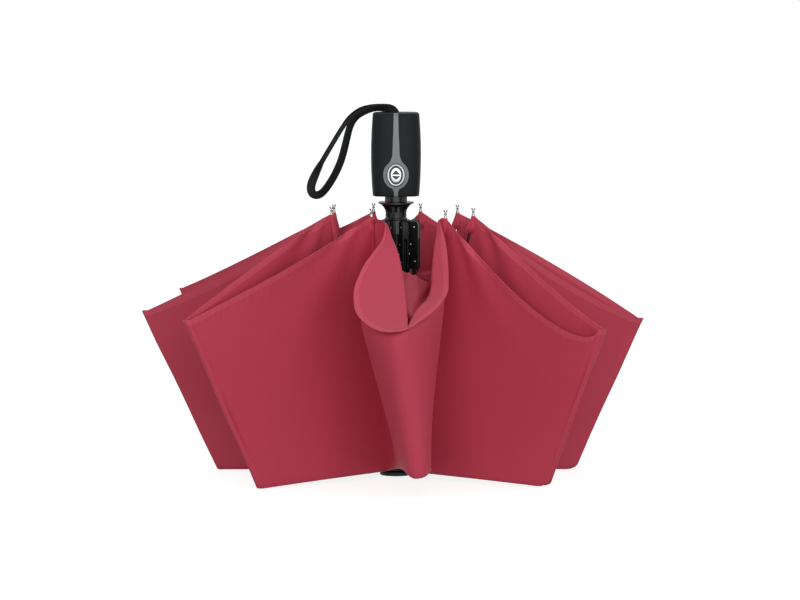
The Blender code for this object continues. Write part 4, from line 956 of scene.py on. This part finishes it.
lobe_guides = [resampled(through(np.array(line) * MM), LOBE_COLUMNS) for line in LOBE_LINES]
lobe = fill(lobe_guides, LOBE_ROWS, band=False)
lobe = soften(lobe, 2, len(lobe) - 2, 5)
fan = np.arctan2(lobe[:, :, 0] - PINCH[0], PINCH[2] + PINCH_LIFT - lobe[:, :, 2])
lift = CREASE * np.exp(-np.linalg.norm(lobe - PINCH, axis=2) / PINCH_FADE) * np.sin(fan * 9.0)
lift -= HOLLOW_DEPTH * np.exp(-(near_path(lobe, np.array(HOLLOW_PATH) * MM) / HOLLOW_WIDTH) ** 2)
lift *= np.sin(np.linspace(0.0, math.pi, LOBE_COLUMNS))[None, :]
lobe = lobe + normals(lobe, -1) * lift[:, :, None]
lobe_piece, lobe_area = sheet_from("front_lobe", lobe, -1, cloth, INNER_THICKNESS)
follow_rib(lobe_piece, FRONT_RIBS[1], *blend_planes(FRONT_RIBS[1]))
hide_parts("canopy_inner_folds")
print("front lobe", lobe_area, "m2")

# %% [markdown]
# ## Grains set out by a node tree
#
# Hem stitches and rivet heads repeat hundreds of times. One function builds the node tree for each: it takes
# points, or even steps along a line, sets a rounded grain on each, and stretches and turns it.

# %% Grain trees
def grain_tree(name, along_line, grain_kind, **grain_size):
    """A geometry tree with named inputs; on a line the grains follow it, else they turn to an azimuth."""
    tree = bpy.data.node_groups.new(name, "GeometryNodeTree")
    inputs = (("Geometry", "Geometry"), ("Spacing", "Float"), ("Azimuth", "Float"), ("Length", "Float"),
              ("Width", "Float"), ("Height", "Float"), ("Material", "Material"))
    for title, kind in inputs:
        tree.interface.new_socket(title, in_out="INPUT", socket_type="NodeSocket" + kind)
    tree.interface.new_socket("Geometry", in_out="OUTPUT", socket_type="NodeSocketGeometry")
    given = add_node(tree, "NodeGroupInput", {}).outputs

    def made(kind, inputs, output=0, **settings):
        return add_node(tree, kind, inputs, **settings).outputs[output]

    if along_line:
        curve = made("GeometryNodeMeshToCurve", {"Mesh": given["Geometry"]})
        steps = {"Curve": curve, "Length": given["Spacing"]}
        points = made("GeometryNodeResampleCurve", steps, mode="LENGTH")
        tangent = made("GeometryNodeInputTangent", {})
        turn = made("FunctionNodeAlignRotationToVector", {"Vector": tangent}, axis="X")
    else:
        points = given["Geometry"]
        turn = made("ShaderNodeCombineXYZ", {"Z": given["Azimuth"]})
    size = made("ShaderNodeCombineXYZ", {"X": given["Length"], "Y": given["Width"], "Z": given["Height"]})
    grain = made(grain_kind, grain_size, "Mesh")
    placed = made("GeometryNodeInstanceOnPoints", {
        "Points": points, "Instance": grain, "Rotation": turn, "Scale": size})
    real = made("GeometryNodeRealizeInstances", {"Geometry": placed})
    dressed = made("GeometryNodeSetMaterial", {"Geometry": real, "Material": given["Material"]})
    add_node(tree, "NodeGroupOutput", {0: dressed})
    return tree


def grown(name, points, links, tree, **values):
    """Runs a tree on a chain or cloud of points and returns the plain mesh object."""
    data = bpy.data.meshes.new(name)
    data.from_pydata([tuple(map(float, point)) for point in points], links, [])
    made = add_object(name, data)
    step = made.modifiers.new("grow", "NODES")
    step.node_group = tree
    for item in tree.interface.items_tree:
        if item.in_out == "INPUT" and item.name in values:
            step[item.identifier] = values[item.name]
    return smooth(baked(made), None)


stitches = grain_tree("stitches_along_a_line", True, "GeometryNodeMeshIcoSphere", Radius=0.5, Subdivisions=2)
rivets = grain_tree("rivet_heads", False, "GeometryNodeMeshUVSphere", Radius=1.0, Segments=14, Rings=8)
print("grain trees with", len(stitches.nodes), "and", len(rivets.nodes), "nodes")

# %% [markdown]
# ## Hem stitches
#
# The hem is turned once and sewn with a long straight stitch. A stitch is a tiny grain of thread.

# %% Sew the hems
STITCH_SPACING = 2.7 * MM
STITCH_LENGTH = 1.9 * MM
STITCH_WIDTH = 0.62 * MM
STITCH_SHARE = 0.56

for title, rib, rows, piece, band, area in sheets:
    line = rows[1] + (rows[2] - rows[1]) * STITCH_SHARE
    chain = [(i, i + 1) for i in range(len(line) - 1)]
    row = grown(f"hem_stitches_{title}", line, chain, stitches, Spacing=STITCH_SPACING, Length=STITCH_LENGTH,
                Width=STITCH_WIDTH, Height=STITCH_WIDTH, Material=thread.material)
    follow_rib(row, rib, *blend_planes(rib))
    "outer_rib_" + rib[0]
print(len(sheets), "sheets sewn")

# %% [markdown]
# ## Rods and tips
#
# Each rib ends in a thin lacquered rod with a nickel tip: a sleeve, a bead, a waist, and a head with a slot
# across it. The cloth's corner is gathered round the sleeve in a tuft, a ring of cloth that widens
# downwards and ripples more and more.

# %% Rods, tips and tufts
ROD_FOOT = 18.75 * MM
ROD_FOOT_HEIGHT = 14.5 * MM
ROD_STATIONS = 9
PEG_BASE = 209.0 * MM
# Radius and height above the rod's end, in millimetres.
TIP_PROFILE = (
    (0, -0.6), (1.3, -0.6), (1.3, 2.2), (1.15, 2.4), (0.65, 2.7), (0.65, 3.1), (1.05, 3.4), (1.3, 3.9),
    (1.05, 4.4), (0.70, 4.7), (0.70, 5.0), (1.2, 5.6), (1.85, 6.5), (1.85, 7.0), (0, 7.0),
)
SLOT = np.array(((-0.38, -3.0, 5.5), (0.38, 3.0, 8.0))) * MM
# Radius and height beside the rod's end, in millimetres; two tufts reach further down.
TUFT = ((1.5, 0.6), (1.75, -0.4), (1.6, -1.6), (2.1, -4.0), (2.7, -7.5), (3.3, -12.5))
LONG_TUFTS = {"left": 2.9, "left_front": 2.9}
TUFT_INSIDE = 0.72


def circle_round(centre, direction, radius, sides):
    first = unit(np.cross(unit(direction), (0.0, 1.0, 0.0)))
    second = np.cross(unit(direction), first)
    return [centre + radius * (first * math.cos(a) + second * math.sin(a)) for a in full_turn(sides)]


def tip_at(place):
    tip = combine(turned("tip", np.array(TIP_PROFILE) * MM, 20, nickel), block(*SLOT))
    tip.data.transform(Matrix.Translation(place))
    return tip


def tuft_round(name, peg, step, number):
    """Gathered cloth round the rod; step is how far the rod runs for each unit of height."""
    outer, inner = [], []
    for radius, drop in TUFT:
        drop *= LONG_TUFTS.get(name, 1.0) if drop < 0 else 1.0
        centre = peg + step * drop * MM
        ripple = 0.16 * min(max(-drop, 0.0) / 4.0, 1.6)
        reaches = [radius * MM * (1.0 + ripple * math.sin(a * 6 + number + drop * 0.15))
                   for a in full_turn(40)]
        ring = [centre + (r * math.cos(a), r * math.sin(a), 0.0) for r, a in zip(reaches, full_turn(40))]
        outer.append(ring)
        inner.insert(0, [centre + (point - centre) * TUFT_INSIDE for point in ring])
    return loft(f"corner_tuft_{name}", outer + inner + outer[:1], cloth, ends=False, sharp=None)


for number, (name, azimuth, tip_azimuth, share) in enumerate(RIBS):
    foot = polar(azimuth, ROD_FOOT, ROD_FOOT_HEIGHT)
    peg = polar(tip_azimuth, share * TIP_SPREAD, PEG_BASE)
    run = peg - foot
    rings = [circle_round(foot + run * t, run, ROD_RADIUS, 16) for t in np.linspace(0.0, 1.0, ROD_STATIONS)]
    rod = joined(f"rib_rod_{name}", [loft("rod", rings, rib_black), tip_at(peg)])
    on_body(rod, "rib_" + name, "tip_steel", f"outer_rib_{name}")
    on_body(tuft_round(name, peg, run / run[2], number), "rib_" + name, "cloth")
print(len(RIBS), "rods with tips and tufts")

# %% [markdown]
# ## Rivets
#
# The joints of the ribs are riveted: a pin through the folded strip with a bright round head on each side,
# turned to the rib's azimuth.

# %% Rivet heads
# Reach, height and distance from the rib's middle plane, in millimetres.
RIVETS = ((13.2, 185.8, 2.45), (12.0, 178.0, 2.45), (16.3, 199.5, 2.45), (17.0, 172.0, 2.45),
          (16.1, 24.0, 1.20), (16.1, 60.0, 1.20))
RIVET_RADIUS = 0.95 * MM
RIVET_HEIGHT = 0.42 * MM

for name, azimuth, _, _ in RIBS:
    beside = polar(azimuth + 90.0, MM, 0.0)
    heads = [polar(azimuth, r * MM, z * MM) + beside * aside * side
             for r, z, aside in RIVETS for side in (-1, 1)]
    made = grown(f"rivets_{name}", heads, [], rivets, Length=RIVET_RADIUS, Width=RIVET_HEIGHT,
                 Height=RIVET_RADIUS, Azimuth=math.radians(azimuth), Material=nickel.material)
    on_body(made, "rib_" + name, "tip_steel")
print("rivet heads", len(RIVETS) * 2 * len(RIBS))

# %% [markdown]
# ## The handle
#
# A soft-touch grip of two shells. Its section is a rounded rectangle that is widest halfway up. A grey inlay
# runs down the front and opens into a ring round the button.

# %% Handle shape
HANDLE_BOTTOM = 224.2 * MM
HANDLE_LENGTH = HANDLE_TOP - HANDLE_BOTTOM
HANDLE_HALF_WIDTH = 20.0 * MM
HANDLE_HALF_DEPTH = 14.8 * MM
HANDLE_WALL = 2.2 * MM
HANDLE_EDGE = 1.8 * MM
HANDLE_FOOT_EDGE = 0.7 * MM
HANDLE_SIDES = 112
SQUARENESS = 3.4
WIDEST_AT = 0.56
# Half size, its straight share, and the shares added at the foot and where the handle is widest.
SWELL = ((HANDLE_HALF_WIDTH, 0.892, 0.035, 0.090), (HANDLE_HALF_DEPTH, 0.870, 0.020, 0.115))
BUTTON_HEIGHT = 241.6 * MM
BUTTON_HALVES = (7.2 * MM, 9.0 * MM)
GAP = 0.3 * MM
INLAY_TOP = 1.75 * MM
INLAY_SHOULDER = 2.95 * MM
INLAY_STEM = 1.65 * MM
INLAY_RING = (10.2 * MM, 11.4 * MM)
PAINTED_SHARP = 32.0


def handle_ring(height, inset):
    share = (height - HANDLE_BOTTOM) / HANDLE_LENGTH
    swell = 1.0 - ((share - WIDEST_AT) / WIDEST_AT) ** 2
    halves = [half * (straight + foot * (1.0 - share) + more * swell) - inset
              for half, straight, foot, more in SWELL]
    edge = min(share, 1.0 - share) * HANDLE_LENGTH
    rounding = HANDLE_EDGE if share > 0.5 else HANDLE_FOOT_EDGE
    if edge < rounding:
        drawn_in = rounding - math.sqrt(max(rounding**2 - (rounding - edge) ** 2, 0.0))
        halves = [half - drawn_in for half in halves]
    angles = (np.arange(HANDLE_SIDES) + 0.5) * 2.0 * math.pi / HANDLE_SIDES
    x, y = (half * np.sign(wave) * np.abs(wave) ** (2.0 / SQUARENESS)
            for half, wave in zip(halves, (np.cos(angles), np.sin(angles))))
    return np.stack([x, y, np.full(HANDLE_SIDES, height)], axis=1)


def handle_solid(inset, low, high):
    foot, top = ([rounding * e / HANDLE_LENGTH for e in (0.0, 0.12, 0.3, 0.6, 1.0)]
                 for rounding in (HANDLE_FOOT_EDGE, HANDLE_EDGE))
    shares = foot + list(np.linspace(0.05, 0.95, 26)) + [1.0 - s for s in reversed(top)]
    return loft("handle_solid", [handle_ring(low + (high - low) * s, inset) for s in shares])


def plate_of(outline, front, back):
    """An outline in the XZ plane made solid between two depths."""
    return loft("plate", [[(x, y, z) for x, z in outline] for y in (front, back)])


def oval(halves, height, grow=0.0, sides=72):
    return [((halves[0] + grow) * math.cos(a), height + (halves[1] + grow) * math.sin(a))
            for a in full_turn(sides)]


def inlay_outline(grow):
    above = BUTTON_HEIGHT + INLAY_RING[1]
    right = [(INLAY_TOP, HANDLE_TOP + 2 * MM), (INLAY_TOP + 0.35 * MM, HANDLE_TOP - 14 * MM),
             (INLAY_SHOULDER, above + 4.2 * MM), (INLAY_SHOULDER + 1.2 * MM, above + 0.4 * MM)]
    ring = [((INLAY_RING[0] + grow) * math.sin(a), BUTTON_HEIGHT + (INLAY_RING[1] + grow) * math.cos(a))
            for a in np.radians(range(34, 165, 5))]
    stem = [(INLAY_STEM, BUTTON_HEIGHT - INLAY_RING[1] - 2.2 * MM), (INLAY_STEM, HANDLE_BOTTOM - 2 * MM)]
    right = [(x + grow, z) for x, z in right] + ring + [(x + grow, z) for x, z in stem]
    return right + [(-x, z) for x, z in reversed(right)]


def inlay_skin(outer, inner, grow):
    """The layer of the handle between two insets, cut to the inlay's outline."""
    layer = combine(handle_solid(outer, HANDLE_BOTTOM, HANDLE_TOP),
                    handle_solid(inner, HANDLE_BOTTOM - 2 * MM, HANDLE_TOP + 2 * MM))
    return combine(layer, plate_of(inlay_outline(grow), FRONT_FAR, -2 * MM), "INTERSECT")


def painted(made, name, finish, body, slot, *nodes):
    made.name = name
    made.data.materials.clear()
    made.data.materials.append(finish.material)
    for face in made.data.polygons:
        face.material_index = 0
    on_body(smooth(made, PAINTED_SHARP), body, slot)
    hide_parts(*nodes)


print("handle", round(HANDLE_LENGTH / MM, 1), "mm long")

# %% Handle shells and inlay
FRONT_FAR, FRONT_NEAR = -HANDLE_HALF_DEPTH * 1.5, -HANDLE_HALF_DEPTH * 0.5
FAR_SIDE = HANDLE_HALF_WIDTH * 2
LOW_END, HIGH_END = 100.0 * MM, 400.0 * MM
NECK_RADIUS = 9.2 * MM
SCREW_HEIGHT = 274.0 * MM
SCREW_ROOM = 3.1 * MM

neck_low, neck_high = HANDLE_BOTTOM - MM, HANDLE_BOTTOM + 4 * MM
neck = ((0.0, neck_low), (NECK_RADIUS, neck_low), (NECK_RADIUS, neck_high), (0.0, neck_high))
whole = combine(handle_solid(0.0, HANDLE_BOTTOM, HANDLE_TOP),
                handle_solid(HANDLE_WALL, HANDLE_BOTTOM + HANDLE_WALL, HANDLE_TOP - HANDLE_WALL))
whole = combine(whole, turned("neck", neck, 48))
strap_hole = ((-6.6 * MM, 1.65 * MM, HANDLE_TOP - 4 * MM), (3.6 * MM, 6.55 * MM, HANDLE_TOP + MM))
whole = combine(whole, block(*strap_hole))
back = add_object("back", whole.data.copy())
front = combine(whole, block((-FAR_SIDE, -FAR_SIDE, LOW_END), (FAR_SIDE, -GAP / 2, HIGH_END)), "INTERSECT")
back = combine(back, block((-FAR_SIDE, GAP / 2, LOW_END), (FAR_SIDE, FAR_SIDE, HIGH_END)), "INTERSECT")
button_room = oval(BUTTON_HALVES, BUTTON_HEIGHT, GAP)
front = combine(front, plate_of(button_room, FRONT_FAR, FRONT_NEAR))
front = combine(front, inlay_skin(-MM, 0.9 * MM, 0.12 * MM))
screw_room = oval((SCREW_ROOM, SCREW_ROOM), SCREW_HEIGHT, sides=32)
back = combine(back, plate_of(screw_room, HANDLE_HALF_DEPTH * 0.8, HANDLE_HALF_DEPTH * 1.5))
painted(front, "handle_front", soft_black, "handle", "handle_black", "handle_front_shell")
painted(back, "handle_back", soft_black, "handle", "handle_black", "handle_back_shell")
inlay = combine(inlay_skin(-0.25 * MM, 0.8 * MM, 0.0), plate_of(button_room, FRONT_FAR, FRONT_NEAR))
painted(inlay, "grey_inlay", inlay_grey, "handle", "grey_plastic", "handle_inlay")
print("handle faces", len(front.data.polygons) + len(back.data.polygons))

# %% [markdown]
# ## The button
#
# A chrome oval ring, a black groove, and a brushed silver oval with two black arrows: up for open, down for
# close. Each ring of the ovals draws them in and sets them back, in millimetres.

# %% Button
BUTTON_FACE = -16.1 * MM
RIM_STEPS = ((0, 4), (0, 0.75), (0.1, 0.4), (0.35, 0.12), (0.75, 0), (1.3, 0.02), (1.75, 0.2), (2, 0.5),
             (2.1, 0.9), (2.1, 4), (0, 4))
# Which way an arrow points, its half width and its height in millimetres.
ARROWS = ((1, 3.6, 3.9), (-1, 3.5, 3.5))
ARROW_GAP = 0.45 * MM


def oval_rings(name, halves, steps, finish, ends=True):
    rings = [[(x, BUTTON_FACE + depth * MM, z) for x, z in oval(halves, BUTTON_HEIGHT, -drawn * MM)]
             for drawn, depth in steps]
    return loft(name, rings, finish, ends)


rim = oval_rings("rim", BUTTON_HALVES, RIM_STEPS, ring_chrome, ends=False)
well = oval_rings("well", (5.2 * MM, 7.0 * MM), ((0, 3.9), (0, 0.8)), recess_black)
face = oval_rings("face", (4.2 * MM, 6.0 * MM), ((0, 1.2), (0, 0.5), (0.12, 0.25), (0.4, 0.12)), silver)
for side, half_width, length in ARROWS:
    base = BUTTON_HEIGHT + side * ARROW_GAP
    arrow = [(-half_width * MM, base), (half_width * MM, base), (0.0, base + side * length * MM)]
    face = combine(face, plate_of(arrow, BUTTON_FACE - MM, BUTTON_FACE + 1.1 * MM))
button = smooth(joined("button_oval", [rim, well, face]), PAINTED_SHARP)
on_body(button, "button", "chrome", "button_cap")
print("button faces", len(button.data.polygons))

# %% [markdown]
# ## Knuckles at the top of the ribs
#
# Where the main rib meets the middle rib, two punched side plates hold both on rivets, under a solid head.
# Eight of them crowd round the shaft and make the dark bundle that the photo shows. Each goes with its rib.

# %% Knuckles
# Outlines as reach and height in millimetres.
KNUCKLE = ((10.2, 172.5), (13, 166), (18.6, 166), (20, 168), (20, 201.5), (18.6, 204.2), (13.6, 204.2),
           (12.6, 203), (12.6, 193.4), (10.2, 193))
KNUCKLE_HEAD = ((12.9, 190.8), (19.7, 190.8), (19.7, 201.3), (18.4, 203.9), (13.8, 203.9), (12.9, 202.8))
KNUCKLE_OUTSIDE = 2.45 * MM
KNUCKLE_INSIDE = 1.75 * MM
KNUCKLE_PARTS = ((KNUCKLE, -KNUCKLE_OUTSIDE, -KNUCKLE_INSIDE), (KNUCKLE, KNUCKLE_INSIDE, KNUCKLE_OUTSIDE),
                 (KNUCKLE_HEAD, -KNUCKLE_INSIDE, KNUCKLE_INSIDE))

for name, azimuth, _, _ in RIBS:
    pieces = [plate_of(np.array(outline) * MM, low, high) for outline, low, high in KNUCKLE_PARTS]
    for piece in pieces:
        piece.data.materials.append(collar_black.material)
    knuckle = joined("knuckle", pieces)
    knuckle.data.transform(Matrix.Rotation(math.radians(azimuth), 4, "Z"))
    painted(knuckle, f"knuckle_{name}", collar_black, "rib_" + name, "rib_black")
print(len(RIBS), "knuckles")

# %% [markdown]
# ## The collar under the handle
#
# The runner's collar is a moulded spool: ribs round its neck and a wide flange, so that a thumb can push it.
# It is turned with fine roundings here, then notched all the way round.

# %% Collar
COLLAR_LOW = 205.3 * MM
COLLAR_NOTCHES = 12
# Radius and height above the collar's foot, in millimetres.
COLLAR_PROFILE = (
    (6.8, 0), (8.9, 0), (9.2, 0.2), (9.2, 1), (8.9, 1.3), (8.3, 1.6), (8.3, 5.2), (8.45, 6.6), (8.9, 8),
    (9.8, 9.6), (11.2, 11.2), (12.9, 12.5), (13.9, 12.7), (14.25, 12.95), (14.25, 13.75), (14, 14),
    (6.8, 14),
)
NOTCH = np.array(((7.05, -1.25, 2.4), (16.0, 1.25, 10.6))) * MM + (0.0, 0.0, COLLAR_LOW)

collar = turned("spool", np.array(COLLAR_PROFILE) * MM + (0.0, COLLAR_LOW), 96)
for k in range(COLLAR_NOTCHES):
    notch = block(*NOTCH)
    notch.data.transform(Matrix.Rotation(math.radians(360.0 * (k + 0.5) / COLLAR_NOTCHES), 4, "Z"))
    collar = combine(collar, notch)
painted(collar, "runner_spool", collar_black, "runner", "black_plastic", "runner_collar")
print("collar faces", len(collar.data.polygons))

# %% [markdown]
# ## The small spring behind the catch
#
# Pressing the button pushes the catch plate against a small coil in the handle. The imported coil is rigid;
# a copy of it takes its place. It is a steel coil.

# %% Catch coil
packed_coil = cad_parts["catch_spring"]
coil = add_object("catch_coil", packed_coil.data.copy())
coil.data.transform(packed_coil.matrix_world)
coil.data.materials.clear()
coil.data.materials.append(spring_steel.material)
on_body(coil, "handle", "bright_steel", "catch_spring")
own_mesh(coil)

# %% [markdown]
# ## Finishes on the solid pieces
#
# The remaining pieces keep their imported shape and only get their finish, found by how their name starts.

# %% Dress the solid pieces
NODE_FINISHES = (
    (rib_black, ("main_rib_", "middle_rib_", "stretcher_")),
    (tube_black, ("outer_tube", "middle_tube", "inner_tube")),
    (spring_steel, ("crown_wire", "runner_wire", "opening_spring", "catch_plate")),
    (gloss_black, ("top_cap", "crown")),
    (collar_black, ("runner_hub", "control_barrel")),
    (nickel, ("handle_screw",)),
)
dressed = 0
for name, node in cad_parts.items():
    found = [finish for finish, starts in NODE_FINISHES if name.startswith(starts)]
    if found and not node.hide_render:
        node.data.materials.clear()
        node.data.materials.append(found[0].material)
        for face in node.data.polygons:
            face.material_index = 0
        dressed += 1
print(dressed, "solid pieces dressed")

# %% [markdown]
# ## Floor, backdrop and light
#
# A plain pale floor under soft studio light. The camera sees a white backdrop, while the floor keeps the
# umbrella's soft shadow: to the camera the floor shows its own light and a part of what falls on it, to
# everything else it is plain pale board.

# %% Studio
WORLD_LIGHT = 0.45
FLOOR_GLOW = 0.83
FLOOR_HALF = 8.0
FLOOR_DROP = 0.3 * MM
# Name, place, width in metres and power in watts.
LAMPS = (("key", (-0.4, -2.5, 0.50), 1.5, 15.5), ("fill", (0.8, -2.4, 0.50), 1.5, 16.5),
         ("top", (0.2, 0.2, 2.2), 1.2, 4.5))


def seen_as(tree, socket, plain, direct):
    """An input gets one value for the camera, also in mirrors and through glass, another for the rest."""
    path = add_node(tree, "ShaderNodeLightPath", {}).outputs
    seen = path["Is Camera Ray"]
    for word in ("Is Glossy Ray", "Is Transmission Ray"):
        seen = add_node(tree, "ShaderNodeMath", {0: seen, 1: path[word]}, operation="MAXIMUM").outputs[0]
    span = add_node(tree, "ShaderNodeMapRange", {"Value": seen, "To Min": plain, "To Max": direct})
    feed(tree, socket, span.outputs[0])


world = bpy.data.worlds.new("studio")
bpy.context.scene.world = world
world.use_nodes = True
background = world.node_tree.nodes["Background"]
background.inputs["Color"].default_value = (1.0, 1.0, 1.0, 1.0)
seen_as(world.node_tree, background.inputs["Strength"], WORLD_LIGHT, 1.0)

board = Finish("pale_floor", (0.33, 0.35, 0.35), 0.9, emission_color=(1.0, 1.0, 1.0, 1.0))
seen_as(board.tree, board.shader.inputs["Emission Strength"], 0.0, FLOOR_GLOW)
corners = [(x * FLOOR_HALF, y * FLOOR_HALF, -FLOOR_DROP) for x, y in ((-1, -1), (1, -1), (1, 1), (-1, 1))]
mesh_from("floor", corners, [(0, 1, 2, 3)], board)

for name, place, width, power in LAMPS:
    data = bpy.data.lights.new(name, "AREA")
    data.shape = "DISK"
    data.size = width
    data.energy = power
    lamp = add_object(name, data)
    lamp.location = place
    lamp.rotation_euler = (AIM - Vector(place)).to_track_quat("-Z", "Y").to_euler()
bpy.context.scene.view_settings.view_transform = "Standard"
print("three lamps and a world at", WORLD_LIGHT)
